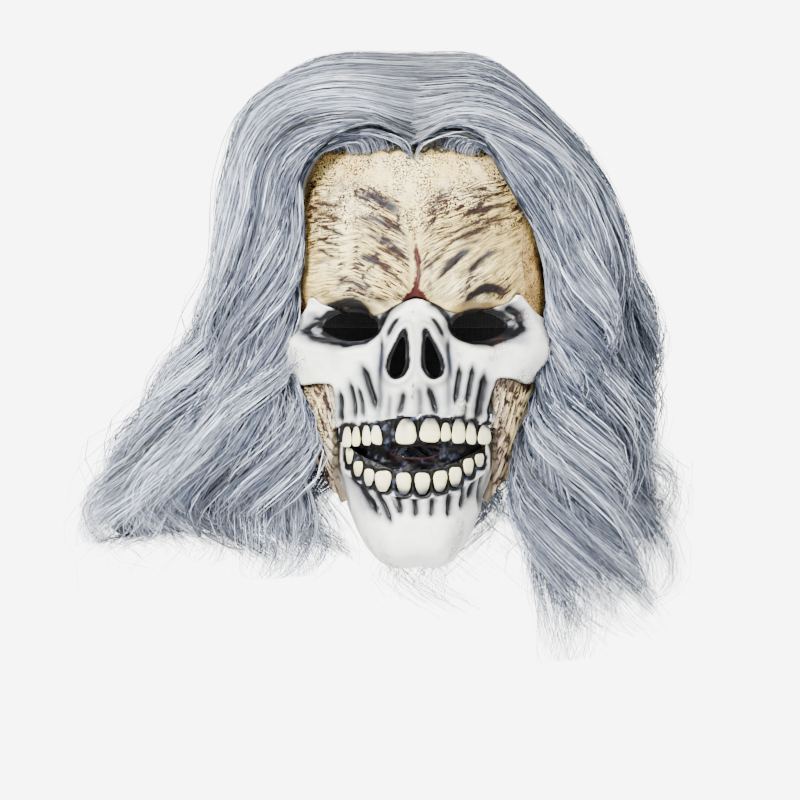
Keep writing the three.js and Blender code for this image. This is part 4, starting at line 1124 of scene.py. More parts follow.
class MaskHairSettings(bpy.types.PropertyGroup):
    """How the wig is filled."""

    front_strands: bpy.props.IntProperty(
        name="Front strands", description="Strands in each front fall", default=2500)
    hairline_strands: bpy.props.IntProperty(
        name="Hairline strands", description="Strands rooted along each half of the brow", default=800)
    side_strands: bpy.props.IntProperty(
        name="Side strands", description="Strands on each side", default=3400)
    back_strands: bpy.props.IntProperty(
        name="Back strands", description="Strands on each half of the back", default=3300)
    width: bpy.props.FloatProperty(
        name="Strand width", description="Width of one strand", default=0.00052, unit="LENGTH")
    dark: colour_property("Dark strands", "The darkest strands", srgb(26, 28, 38))
    middle: colour_property("Grey strands", "Most of the strands", srgb(116, 124, 142))
    light: colour_property("Light strands", "The lightest strands", srgb(232, 238, 248))


class MaskTrimSettings(bpy.types.PropertyGroup):
    """Colours of the parts inside."""

    cloth: colour_property("Cap and elastic", "Cloth of the cap and the strap", srgb(46, 46, 52))
    foam: colour_property("Foam", "Foam of the pads", srgb(66, 66, 70))
    rivet: colour_property("Rivets", "Plated rivets and washers", srgb(188, 190, 196))
    nylon: colour_property("Slider", "Moulded slider", srgb(34, 34, 38))


# ---- operators ----


def above_rim(p):
    """Height above the wig cap's rim, measured square to it."""
    return (p[:, 1] - CAP_FRONT[0]) * -CAP_SLOPE[1] + (p[:, 2] - CAP_FRONT[1]) * CAP_SLOPE[0]


def beyond_cap(p, lift):
    """Distance inside the cap's clearance, above zero where the skin has to stop."""
    q = (p - CAP_CENTRE) / (CAP_RADII + lift)
    return np.minimum((1 - np.linalg.norm(q, axis=-1)) * 90, above_rim(p) + 10)


class MASK_OT_forehead(bpy.types.Operator):
    """Casts the wrinkled forehead and the two temples"""

    bl_idname = "mask.forehead"
    bl_label = "Forehead and temples"

    def execute(self, context):
        skin = context.scene.mask_skin
        step, wall = skin.grid / METRES, skin.wall / METRES
        latex = painted_latex("flesh_latex", 0.5, 1.0, 0.05, line_width=0.07)

        def brow(p):
            outside = outline_distance(p[:, 0], p[:, 2], FOREHEAD_LINE)
            bone = 0.5 - outline_distance(p[:, 0], p[:, 2], BONE_LINE)
            return np.maximum.reduce([outside, bone, -eye_gap(p[:, 0], p[:, 2])])

        obj = thick_skin(
            "forehead_casting", face_surface, (-1.0, 1.0), (-12, 104), step, brow,
            lambda p: relief(p[:, 0], p[:, 2]), forehead_sculpt, wall, forehead_paint)
        finish_piece(obj, latex, "mask", ["forehead_skin"])
        for name, side in SIDES.items():
            def temple(p):
                forehead = 0.4 - outline_distance(p[:, 0], p[:, 2], FOREHEAD_LINE)
                bone = 0.4 - outline_distance(p[:, 0], p[:, 2], BONE_LINE)
                inner = TEMPLE_INNER - np.abs(p[:, 0])
                return np.maximum.reduce([
                    forehead, bone, inner, p[:, 1] - SKIN_BACK, TEMPLE_LOW - p[:, 2],
                    p[:, 2] - TEMPLE_HIGH, beyond_cap(p, 2.4)])

            obj = thick_skin(
                f"temple_casting_{name}", face_surface, (side * 0.2, side * 1.5), (-12.6, 93), step * 1.3,
                temple, lambda p: np.zeros(len(p)), temple_sculpt, wall, temple_paint)
            finish_piece(obj, latex, "mask", [f"temple_skin_{name}"])
        return {"FINISHED"}


class MASK_OT_bone(bpy.types.Operator):
    """Casts the white bone of the middle of the face"""

    bl_idname = "mask.bone"
    bl_label = "Bone face"

    def execute(self, context):
        skin = context.scene.mask_skin
        latex = painted_latex("bone_latex", 0.42, 0.5, 0.08)

        def bone(p):
            x, z = p[:, 0], p[:, 2]
            return np.maximum.reduce(
                [outline_distance(x, z, BONE_LINE), -eye_gap(x, z), -pair_gap(x, z, NOSTRILS)])

        obj = thick_skin(
            "bone_casting", face_surface, (-1.25, 1.25), (-60, 14), skin.grid / METRES, bone,
            lambda p: relief(p[:, 0], p[:, 2]) + BONE_LIFT, bone_sculpt, skin.wall / METRES, bone_paint)
        finish_piece(obj, latex, "mask", ["bone_face"])
        return {"FINISHED"}


class MASK_OT_cheeks(bpy.types.Operator):
    """Casts the stringy flesh of both cheeks"""

    bl_idname = "mask.cheeks"
    bl_label = "Cheeks"

    def execute(self, context):
        skin = context.scene.mask_skin
        latex = painted_latex("sinew_latex", 0.5, 0.9, 0.05, line_width=0.1)
        for name, side in SIDES.items():
            line = np.array(CHEEK_EDGE, float) * np.array([side, 1])

            def cheek(p):
                x, z = p[:, 0], p[:, 2]
                jaw = jaw_half_width(np.minimum(z + 5, -58)) + 0.4 - np.abs(x)
                mouth = np.minimum(38 - np.abs(x), z + 66)
                bone = 0.4 - outline_distance(x, z, BONE_LINE)
                return np.maximum.reduce(
                    [outline_distance(x, z, line), np.where(z < -58, jaw, mouth), bone,
                     37.5 - np.abs(x), p[:, 1] - SKIN_BACK])

            obj = thick_skin(
                f"cheek_casting_{name}", face_surface, (side * 0.2, side * 1.5), (-116, -12.4),
                skin.grid / METRES * 1.1, cheek, lambda p: np.zeros(len(p)), cheek_sculpt,
                skin.wall / METRES, cheek_paint)
            blend = ("mask", "jaw", (0, -0.06, -0.075), (0, -0.08, -0.1))
            finish_piece(obj, latex, blend, [f"cheek_flesh_{name}"])
        return {"FINISHED"}


class MASK_OT_jaw(bpy.types.Operator):
    """Casts the white chin and jaw"""

    bl_idname = "mask.jaw"
    bl_label = "Jaw"

    def execute(self, context):
        skin = context.scene.mask_skin
        latex = painted_latex("jaw_latex", 0.42, 0.5, 0.08)
        top = np.array(JAW_TOP, float)
        obj = thick_skin(
            "jaw_casting", jaw_surface, (-1.55, 1.55), (-66, -133), skin.grid / METRES,
            lambda p: outline_distance(p[:, 0], p[:, 2], top), lambda p: np.zeros(len(p)), jaw_sculpt,
            skin.wall / METRES, jaw_paint)
        finish_piece(obj, latex, "jaw", ["jaw_bone"])
        return {"FINISHED"}


def tooth_mesh(middle, width, low, high, place, back, depth, seed, root_up):
    """One tooth: a rounded block that narrows to its root, on the surface place(x, z, lift)."""
    around, rows = 26, 16

    def swell(value, power):
        return np.sign(value) * np.abs(value) ** power

    theta = np.linspace(-np.pi, np.pi, around, endpoint=False)
    phi = np.linspace(-np.pi / 2, np.pi / 2, rows + 2)[1:-1]
    t, f = np.meshgrid(theta, phi)
    u = swell(np.cos(f), 0.5) * swell(np.cos(t), 0.55)
    w = swell(np.cos(f), 0.45) * swell(np.sin(t), 0.7)
    v = swell(np.sin(f), 0.5)
    root = v if root_up else -v
    rng = np.random.default_rng(seed)
    taper = 1 - 0.42 * ramp(root, -0.25, 1.1) - 0.04 * ramp(-root, 0.3, 1)
    lean = rng.uniform(-0.05, 0.05)
    x = middle + u * taper * width / 2 + lean * v * (high - low) / 2
    z = (low + high) / 2 + v * (high - low) / 2 + 0.25 * rng.normal() * u * (1 - ramp(root, -1, 0))
    lift = back + (w * 0.5 + 0.5) * depth * (1 - 0.25 * ramp(root, 0.2, 1.0)) - 0.3
    points = place(x.ravel(), z.ravel(), lift.ravel())
    ends = [place(np.array([middle]), np.array([end]), np.array([back + depth * 0.35]))[0]
            for end in (low, high)]
    quads, index = tube_faces(rows, around)
    bottom, top = around * rows, around * rows + 1
    fans = [[index[0, (k + 1) % around], index[0, k], bottom] for k in range(around)]
    fans += [[index[-1, k], index[-1, (k + 1) % around], top] for k in range(around)]
    tone = np.concatenate([root.ravel(), [-1, 1] if root_up else [1, -1]])
    return np.concatenate([points, ends]), quads, np.array(fans), tone


def tooth_row(name, teeth, place, back, root_up, body, replaced, material, greyed):
    """A row of teeth as one piece, grey with painted shade towards their roots; the greyed ones carry the
    painted root shade further down.
    """
    vertices, faces, tones, count = [], [], [], 0
    for seed, (middle, width, low, high) in enumerate(teeth):
        points, quads, fans, tone = tooth_mesh(
            middle, width, low, high, place, back, TOOTH_DEPTH, seed + (0 if root_up else 40),
            root_up)
        triangles = np.concatenate([quads[:, [0, 1, 2]], quads[:, [0, 2, 3]], fans]) + count
        vertices.append(points)
        faces.append(triangles)
        tones.append(np.stack([tone, np.full(len(tone), 1.0 if seed in greyed else 0.45)], axis=-1))
        count += len(points)
    p, tone = np.concatenate(vertices), np.concatenate(tones)
    colour = np.tile(ENAMEL, (len(p), 1))
    colour = mix(colour, srgb(250, 248, 224), ramp(fractal(p, 3.5, 2, 141), -0.2, 0.5))
    # Painted shade: each tooth turns grey towards its root, where it sinks into the gum.
    root_shade = ramp(tone[:, 0] + 0.25 * noise(p, 3, 142), 0.0, 0.85) * tone[:, 1]
    colour = mix(colour, srgb(96, 98, 104), root_shade)
    colour = mix(colour, BLACK, ramp(tone[:, 0], 0.93, 1.0) * 0.8)
    obj = put(name, p, np.concatenate(faces), coat(colour))
    return finish_piece(obj, material, body, replaced)


class MASK_OT_teeth(bpy.types.Operator):
    """Sets both rows of uneven teeth"""

    bl_idname = "mask.teeth"
    bl_label = "Teeth"

    def execute(self, context):
        enamel = painted_latex("tooth_latex", 0.34, 0.25, 0.15)
        tooth_row("upper_tooth_row", UPPER_TEETH, on_face, 0.6, True, "mask", ["upper_teeth"], enamel,
                  (4, 5, 7, 8, 9))
        tooth_row("lower_tooth_row", LOWER_TEETH, on_jaw, 0.5, False, "jaw", ["lower_teeth"], enamel,
                  (4, 5, 6, 7, 8))
        return {"FINISHED"}


def strip_mesh(name, place, half_width, low, high, wall, sculpt, paint, inside=None):
    """A lumpy strip across the mouth between the lines low(x) and high(x)."""
    columns = int(half_width * 2 * 1.25 / GUM_GRID)
    rows = int(np.mean(high(np.zeros(1)) - low(np.zeros(1))) / GUM_GRID)
    s, t = np.meshgrid(np.linspace(-half_width, half_width, columns), np.linspace(0, 1, rows))
    x = s.ravel()
    z = low(x) + (high(x) - low(x)) * t.ravel()
    flat = np.stack([x, np.zeros(len(x)), z], axis=-1)
    outer = place(x, z, sculpt(flat))
    inner = place(x, z, np.full(len(x), -wall))
    faces = grid_faces(rows, columns)
    if inside is not None:
        kept = inside(flat) < 0
        faces = faces[kept[faces].all(axis=1)]
    used, faces = compacted(faces)
    vertices = np.concatenate([outer[used], inner[used]])
    return put(name, vertices, wall_faces(faces, len(used)), both_sides(paint(flat[used], None)))


class MASK_OT_gums(bpy.types.Operator):
    """Lays the black gums and the stippled mouth bed"""

    bl_idname = "mask.gums"
    bl_label = "Gums and mouth bed"

    def execute(self, context):
        rubber = painted_latex("black_latex", 0.45, 1.3, 0.05)

        def lumps(teeth, seed, base):
            def height(p):
                swell = 1.3 * hill(tooth_gap(p[:, 0], p[:, 2], teeth), 1.2, 1.1)
                return base + swell + 0.5 * fractal(p, 2.6, 3, seed)
            return height

        obj = strip_mesh(
            "upper_gum_strip", on_face, UPPER_GUM["half_width"],
            lambda x: UPPER_GUM["low"] + 0.8 * np.sin(0.9 * x),
            lambda x: np.full(len(x), UPPER_GUM["high"]), UPPER_GUM["wall"],
            lumps(UPPER_TEETH, 151, 0.3), upper_gum_paint,
            lambda p: -outline_distance(p[:, 0], p[:, 2], BONE_LINE) - 1.5)
        finish_piece(obj, rubber, "mask", ["upper_gum"])
        obj = strip_mesh(
            "lower_gum_strip", on_jaw, LOWER_GUM["half_width"],
            lambda x: lower_row(x) - LOWER_GUM["below"],
            lambda x: lower_row(x) + LOWER_GUM["above"], LOWER_GUM["wall"],
            lumps(LOWER_TEETH, 152, 0.2), lower_gum_paint)
        finish_piece(obj, rubber, "jaw", ["lower_gum"])
        slit = oval(0, SLIT["z"], SLIT["width"], SLIT["height"])
        obj = strip_mesh(
            "mouth_bed_sheet", lambda x, z, lift: on_face(x, z, lift - MOUTH_BED["depth"]),
            MOUTH_BED["half_width"], lambda x: lower_row(x) - MOUTH_BED["below"],
            lambda x: np.full(len(x), MOUTH_BED["high"]), MOUTH_BED["wall"],
            lambda p: 0.9 * fractal(p, 4.5, 4, 153) + 0.6 * hill(
                outline_distance(p[:, 0], p[:, 2], slit), 1.2, 1.6),
            bed_paint, lambda p: -outline_distance(p[:, 0], p[:, 2], slit))
        finish_piece(obj, rubber, "jaw", ["mouth_bed"])
        return {"FINISHED"}


def pad_from_node(node, name, material, body):
    """A foam pad inside a frame node's box: its solid, remeshed and softened."""
    bpy.ops.object.select_all(action="DESELECT")
    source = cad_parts[node]
    obj = bpy.data.objects.new(name, source.data.copy())
    obj.data.materials.clear()
    bpy.context.scene.collection.objects.link(obj)
    bpy.context.view_layer.objects.active = obj
    obj.select_set(True)
    for kind, settings in (
        ("REMESH", {"mode": "VOXEL", "voxel_size": 0.0011}),
        ("SMOOTH", {"factor": 0.5, "iterations": 6}),
        ("SUBSURF", {"levels": 1, "render_levels": 1}),
    ):
        modifier = obj.modifiers.new(kind.title(), kind)
        for key, value in settings.items():
            setattr(modifier, key, value)
        bpy.ops.object.modifier_apply(modifier=modifier.name)
    bpy.ops.object.shade_smooth()
    finish_piece(obj, material, body, [node])
    return obj


class MASK_OT_pads(bpy.types.Operator):
    """Glues in the foam pads behind the brow and the chin"""

    bl_idname = "mask.pads"
    bl_label = "Foam pads"

    def execute(self, context):
        foam = open_foam(context.scene.mask_trim.foam)
        pad_from_node("brow_pad", "brow_foam", foam, "mask")
        pad_from_node("chin_pad", "chin_foam", foam, "jaw")
        return {"FINISHED"}


def dome_band(name, inner, outer, low, high, steps=144, rows=40):
    """A wall on the cap's dome between two heights over its rim; a high of None closes the top."""
    up = np.array([0, -CAP_SLOPE[1], CAP_SLOPE[0]])
    forward = np.array([0, *CAP_SLOPE])
    origin = np.array([0, CAP_FRONT[0], CAP_FRONT[1]])
    walls = []
    for lift in (outer, inner):
        radii = CAP_RADII + lift
        axis = up / np.linalg.norm(up / radii)
        top = (axis - (origin - CAP_CENTRE)) @ up if high is None else high
        rings = []
        for t in np.linspace(0, 1, rows):
            level = low + (top - low) * (math.sin(t * math.pi / 2) if high is None else t)
            middle = CAP_CENTRE + up * ((origin - CAP_CENTRE) @ up + level)
            angle = np.linspace(0, 2 * np.pi, steps, endpoint=False)
            way = np.cos(angle)[:, None] * np.array([1, 0, 0]) + np.sin(angle)[:, None] * forward
            a = ((way / radii) ** 2).sum(1)
            b = 2 * ((way / radii) * ((middle - CAP_CENTRE) / radii)).sum(1)
            c = (((middle - CAP_CENTRE) / radii) ** 2).sum() - 1
            reach = (-b + np.sqrt(np.maximum(b * b - 4 * a * c, 0))) / (2 * a)
            rings.append(middle + way * reach[:, None])
        walls.append(np.array(rings))
    outer_wall, inner_wall = walls
    side, index = tube_faces(rows, steps)
    count = rows * steps
    faces = [side, side[:, ::-1] + count]
    ends = [(index[0], True)] + ([] if high is None else [(index[-1], False)])
    for edge, first in ends:
        nxt = np.roll(edge, -1)
        quad = np.stack([nxt, edge, edge + count, nxt + count], -1)
        faces.append(quad if first else quad[:, ::-1])
    return put(name, np.concatenate([outer_wall.reshape(-1, 3), inner_wall.reshape(-1, 3)]),
               np.concatenate(faces))


class MASK_OT_cap(bpy.types.Operator):
    """Sews the wig cap, its elastic rim, the weft tracks and the hairline band"""

    bl_idname = "mask.cap"
    bl_label = "Wig cap"

    def execute(self, context):
        cloth = context.scene.mask_trim.cloth
        net = woven("cap_net", cloth, 1.6, 0.9)
        ribbed = woven("ribbed_elastic", np.array(cloth) * 0.8, 1.0, 0.8)
        finish_piece(dome_band("net_cap", -CAP_WALL, 0, 0, None), net, "mask", ["wig_cap"])
        rim = dome_band("elastic_rim", -CAP_WALL, RIM_ELASTIC["outer"], RIM_ELASTIC["low"],
                        RIM_ELASTIC["high"], rows=6)
        bpy.ops.object.select_all(action="DESELECT")
        rim.select_set(True)
        bpy.context.view_layer.objects.active = rim
        bpy.ops.object.mode_set(mode="EDIT")
        bpy.ops.mesh.select_all(action="SELECT")
        bpy.ops.mesh.bisect(plane_co=(0, -0.02, 0), plane_no=(0, -1, 0), clear_outer=True, use_fill=True)
        bpy.ops.object.mode_set(mode="OBJECT")
        finish_piece(rim, ribbed, "mask", ["cap_edge_elastic"])
        for i, low in enumerate(WEFT["lows"], start=1):
            track = dome_band(
                f"weft_tape_{i}", WEFT["inner"], WEFT["outer"], low, low + WEFT["height"], rows=4)
            finish_piece(track, net, "mask", [f"weft_track_{i}"])
        dress_node("hairline_band", net)
        dress_node("hairline_stitching", ribbed)
        return {"FINISHED"}


def strap_mesh(low, high):
    """The head strap: a soft-edged band along an oval that is flat across its back."""
    radii = np.array([high[0], 97.0])
    flat, wall = high[1], 1.6
    angle = np.linspace(math.asin(low[1] / radii[1]), math.asin(flat / radii[1]), 60)
    half = np.stack([radii[0] * np.cos(angle), radii[1] * np.sin(angle)], axis=-1)
    route = np.concatenate([half, half[::-1] * np.array([-1, 1])])
    step = np.gradient(route, axis=0)
    across = np.stack([step[:, 1], -step[:, 0]], axis=-1)
    across /= np.linalg.norm(across, axis=1, keepdims=True)
    middle, half_height = (low[2] + high[2]) / 2, (high[2] - low[2]) / 2
    rings = []
    for turn in np.linspace(0, 2 * np.pi, 28, endpoint=False):
        bulge = np.sign(math.cos(turn)) * abs(math.cos(turn)) ** 0.5
        rise = np.sign(math.sin(turn)) * abs(math.sin(turn)) ** 0.35
        line = route + across * (wall / 2 * (bulge - 1))
        rings.append(np.column_stack([line, np.full(len(route), middle + half_height * rise)]))
    grid = np.array(rings).transpose(1, 0, 2)
    rows, columns = grid.shape[:2]
    index = np.arange(rows * columns).reshape(rows, columns)
    nxt = np.roll(index, -1, 1)
    faces = np.stack([index[:-1], index[1:], nxt[1:], nxt[:-1]], -1).reshape(-1, 4)
    caps = []
    for ring, turned in ((index[0], False), (index[-1], True)):
        for k in range(columns // 2 - 1):
            quad = [ring[k], ring[k + 1], ring[columns - 2 - k], ring[columns - 1 - k]]
            caps.append(quad[::-1] if turned else quad)
    return put("elastic_strap", grid.reshape(-1, 3), np.concatenate([faces, np.array(caps)]))


class MASK_OT_harness(bpy.types.Operator):
    """Fits the elastic head strap, its slider and its rivets"""

    bl_idname = "mask.harness"
    bl_label = "Strap and fittings"

    def execute(self, context):
        trim = context.scene.mask_trim
        ribbed = woven("strap_elastic", np.array(trim.cloth) * 0.9, 1.0, 0.8)
        strap = strap_mesh(*(np.array(corner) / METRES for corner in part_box("head_strap")))
        finish_piece(strap, ribbed, "mask", ["head_strap"])
        steel = worn_hard("rivet_plate", trim.rivet, 1.0, 0.3, 1400)
        nylon = worn_hard("slider_nylon", trim.nylon, 0.0, 0.45, 700)
        for side in SIDES:
            dress_node(f"rivet_{side}", steel)
            dress_node(f"rivet_washer_{side}", steel)
        dress_node("strap_slider", nylon)
        return {"FINISHED"}


# ---- hair ----

# Guides from the parting to the tips, with x counted outwards: the first is the edge beside the
# face and the last, which both sides share, is the middle of the back.
BACK_GUIDE = [
    (1.5, 60, 128), (1.5, 84, 112), (1.5, 100, 94), (1.5, 110, 76), (1.5, 117, 56), (1.5, 126, 20),
    (1.5, 128, -10), (1.5, 127, -40), (1.5, 124, -75), (1.5, 120, -110), (1.5, 118, -145),
    (1.5, 116, -175),
]
HAIR_GUIDES = {
    1: [
        [(3, -91, 91), (20, -95, 100), (38, -94, 94), (50, -92, 76), (61, -87, 54), (77, -72, 20),
         (78, -72, -10), (72, -80, -40), (68, -80, -75), (66, -76, -110), (68, -72, -150), (70, -70, -184)],
        [(3, -60, 126), (36, -68, 124), (64, -68, 103), (86, -62, 80), (95, -60, 56), (101, -60, 20),
         (100, -60, -10), (97, -60, -40), (97, -60, -75), (104, -60, -110), (112, -58, -150),
         (106, -56, -180)],
        [(3, -8, 142), (40, -10, 138), (78, -8, 104), (98, -6, 82), (110, -5, 56), (122, -2, 20),
         (127, 0, -10), (122, 2, -40), (128, 2, -75), (142, 0, -108), (133, -5, -145), (128, -5, -165)],
        [(3, 32, 140), (36, 44, 130), (66, 60, 106), (80, 70, 82), (90, 78, 56), (98, 86, 20),
         (100, 88, -10), (98, 88, -40), (98, 86, -75), (100, 82, -110), (100, 80, -145), (98, 78, -170)],
        BACK_GUIDE,
    ],
    -1: [
        [(3, -91, 91), (22, -95, 101), (44, -93, 96), (59, -91, 80), (64, -88, 56), (67, -88, 20),
         (71, -84, -10), (74, -80, -40), (66, -78, -75), (56, -74, -105), (52, -70, -125), (58, -68, -138)],
        [(3, -60, 126), (40, -68, 126), (70, -68, 112), (88, -62, 84), (94, -60, 56), (98, -60, 20),
         (102, -60, -10), (108, -60, -40), (114, -60, -75), (120, -60, -105), (110, -58, -128),
         (104, -56, -140)],
        [(3, -8, 142), (48, -10, 140), (88, -8, 116), (99, -6, 86), (106, -5, 56), (109, -2, 20),
         (117, 0, -10), (138, 2, -40), (160, 2, -75), (176, 0, -105), (178, -5, -126), (160, -5, -138)],
        [(3, 32, 140), (36, 44, 130), (66, 60, 106), (80, 70, 82), (90, 78, 56), (96, 86, 20),
         (100, 88, -10), (106, 88, -40), (114, 86, -75), (120, 82, -105), (118, 80, -130),
         (110, 78, -150)],
        BACK_GUIDE,
    ],
}
HAIR_THICKNESS = [5, 13, 20, 18, 14]  # at each guide
STRAY_ROOM = 12  # how far past the frame's box a strand may stray
HAIR_ROOM = [
    np.array(corner) / METRES + way * STRAY_ROOM for corner, way in zip(CAD_BOX, (-1, 1))
]
# Shares of the way across from the face to the middle of the back.
CROWN_SWEEP = 0.15  # how far forward of their fall the strands are rooted
FALL_SHARE = 0.31  # how far the loose front falls reach
SIDE_SHARES = (FALL_SHARE - 0.03, 0.62)
BACK_SHARE = 0.60  # where the back hair begins
PARTING = 0.15  # how much of the guides' gap at the parting is left
SEGMENTS = 28  # along each strand
LOCKS, LOCKS_SHARE = 15, 0.3  # this many locks hang from this share
WISPS_IN_LOCK = 11
OVER_CAP, OVER_FACE = 3.2, 4.0  # how clear the hair stays of the skins beneath
STRAYS = 0.08  # share of strands that leave their lock
FALL_HINGE = {"x": 0.084, "above": 0.085, "below": 0.035}  # metres


def spline(points, t):
    """Points on a smooth open line through points (along the first axis) at t from 0 to 1."""
    p = np.asarray(points, float)
    ends = np.concatenate([2 * p[:1] - p[1:2], p, 2 * p[-1:] - p[-2:-1]])
    at = np.clip(t, 0, 1) * (len(p) - 1)
    i = np.clip(np.floor(at).astype(int), 0, len(p) - 2)
    f = (at - i).reshape((-1,) + (1,) * (p.ndim - 1))
    a, b, c, d = (ends[i + k] for k in range(4))
    return 0.5 * (2 * b + (c - a) * f + (2 * a - 5 * b + 4 * c - d) * f**2
                  + (3 * b - 3 * c + d - a) * f**3)


class HairSheet:
    """The outer surface of one side's hair, as a table over (across, down)."""

    across, down = 65, 121

    def __init__(self, side):
        guides = np.array(HAIR_GUIDES[side], float) * np.array([side, 1, 1])
        guides[:, 0, 0] *= PARTING
        along = spline(guides.transpose(1, 0, 2), np.linspace(0, 1, self.down))
        self.points = spline(along.transpose(1, 0, 2), np.linspace(0, 1, self.across))
        normal = np.cross(np.gradient(self.points, axis=0), np.gradient(self.points, axis=1)) * -side
        self.normals = normal / np.maximum(np.linalg.norm(normal, axis=-1, keepdims=True), 1e-9)
        self.sideways = np.gradient(self.points, axis=0)
        self.sideways /= np.maximum(np.linalg.norm(self.sideways, axis=-1, keepdims=True), 1e-9)
        self.thickness = spline(
            np.array(HAIR_THICKNESS, float)[:, None], np.linspace(0, 1, self.across))[:, 0]

    def look(self, table, u, v):
        """The table's value at shares u across and v down."""
        x = np.clip(u, 0, 1) * (self.across - 1)
        y = np.clip(v, 0, 1) * (self.down - 1)
        i, j = np.minimum(x.astype(int), self.across - 2), np.minimum(y.astype(int), self.down - 2)
        f, g = (x - i)[..., None], (y - j)[..., None]
        top = table[i, j] * (1 - f) + table[i + 1, j] * f
        return top * (1 - g) + (table[i, j + 1] * (1 - f) + table[i + 1, j + 1] * f) * g

    def thick(self, u):
        """How thick the hair is at each share across."""
        return np.interp(np.clip(u, 0, 1), np.linspace(0, 1, self.across), self.thickness)


def strand_paths(sheet, side, low, high, count, inner, rng):
    """Points, normals and tones for strands that hang between low and high across one side.

    They gather in wisps, and the wisps in locks that curl together. A share of them, inner, hangs
    on the inside of the hair beneath."""
    locks = max(int(LOCKS * (high - low) / LOCKS_SHARE), 6)
    wisps = locks * WISPS_IN_LOCK
    lock_of = rng.integers(0, locks, wisps)
    lock_centre = (np.arange(locks) + rng.uniform(-0.3, 0.3, locks)) / locks * (high - low) + low
    lock_phase = 9 * lock_centre + rng.normal(0, 0.9, locks)
    lock_pace = rng.uniform(3.1, 4.3, locks)
    lock_swing = rng.uniform(0.5, 1.5, locks)
    lock_depth = rng.beta(1.2, 1.6, locks)
    lock_tone = rng.normal(0, 0.17, locks)
    wisp = rng.integers(0, wisps, count)
    lock = lock_of[wisp]
    centre = lock_centre[lock_of] + rng.normal(0, 0.5 * (high - low) / locks, wisps)
    phase = lock_phase[lock_of] + rng.normal(0, 0.35, wisps)
    drift = rng.normal(0, 0.018, wisps) + rng.normal(0, 0.026, locks)[lock_of]
    layer = np.clip(0.6 * lock_depth[lock] + 0.4 * rng.beta(1.1, 1.6, wisps)[wisp]
                    + rng.normal(0, 0.12, count), -0.1, 1.0)
    start = np.clip(rng.uniform(-0.14, 0.24, count) * (0.3 + layer), 0.0, 0.42)
    length = rng.uniform(0.8, 1.0, locks)[lock] * rng.uniform(0.87, 1.0, wisps)[wisp]
    reach = length * rng.uniform(0.93, 1.0, count)
    stray = rng.random(count) < STRAYS
    t = np.linspace(0, 1, SEGMENTS + 1)[None, :]
    v = start[:, None] + (reach - start)[:, None] * t
    gather = 1 - 0.7 * ramp(v, 0.2, 0.8) + 0.9 * ramp(v, 0.8, 1.0)
    spread = rng.normal(0, 0.02, count)
    u = centre[wisp][:, None] + spread[:, None] * gather + drift[wisp][:, None] * ramp(v, 0.2, 1)
    u = u + stray[:, None] * rng.normal(0, 0.06, count)[:, None] * v
    u = np.clip(u - CROWN_SWEEP * (1 - ramp(v, 0.02, 0.3)) * (1 - ramp(u, 0.7, 1)), 0.002, 0.998)
    point = sheet.look(sheet.points, u, v)
    normal = sheet.look(sheet.normals, u, v)
    sideways = sheet.look(sheet.sideways, u, v)
    thick = sheet.thick(u) * np.clip(0.3 + v * 2.6, 0, 1)
    curl = (3 + 16 * ramp(v, 0.28, 0.72)) * ramp(v, 0.1, 0.25) * lock_swing[lock][:, None]
    turn = phase[wisp][:, None] + v * 2 * np.pi * lock_pace[lock][:, None]
    turn = turn + rng.normal(0, 0.2, count)[:, None]
    fuzz_phase = rng.uniform(0, 2 * np.pi, count)[:, None]
    fuzz = rng.normal(0, 0.8, count)[:, None] * np.sin(v * 27 + fuzz_phase) * ramp(v, 0.02, 0.2)
    within = rng.random(count) < inner
    layer = np.where(within, rng.uniform(1.15, 1.4, count), layer)
    raised = 4.0 * (1 - ramp(v, 0.1, 0.45))
    wave = 0.6 * curl * np.cos(turn) * np.where(within, 0.3, 1)[:, None]
    lift = raised - thick * layer[:, None] + wave + fuzz
    away = stray[:, None] * rng.uniform(1, 9, count)[:, None] * ramp(v, 0.0, 0.7)
    hem = ramp(v, 0.86, 1.0) * rng.normal(0, 6, count)[:, None]
    slide = 0.95 * curl * np.sin(turn) + np.roll(fuzz, 3, axis=1) + stray[:, None] * hem
    point = point + normal * (lift + away)[..., None] + sideways * slide[..., None]
    crossing = rng.uniform(-1.5, 6, count)[:, None] * (1 - ramp(v, 0, 0.05))
    point[..., 0] -= side * np.where(start < 0.03, 1, 0)[:, None] * crossing
    # Painted shade of the hair's depths: deeper strands and those hanging inside get darker tones.
    tone = 0.8 - 0.95 * np.minimum(layer, 0.75) + lock_tone[lock] + rng.normal(0, 0.27, count)
    tone += rng.normal(0, 0.12, wisps)[wisp]
    tone = np.where(stray, 0.3 + 0.3 * tone, tone)
    return point, normal, tone


def hairline_height(x):
    """The wavy line where the wig meets the brow, with a peak in the middle."""
    side = np.abs(x)
    return 90 + 2.2 * np.sin(side * 0.17) - 5 * hill(x, -2, 5) - 0.010 * np.maximum(side - 30, 0) ** 2


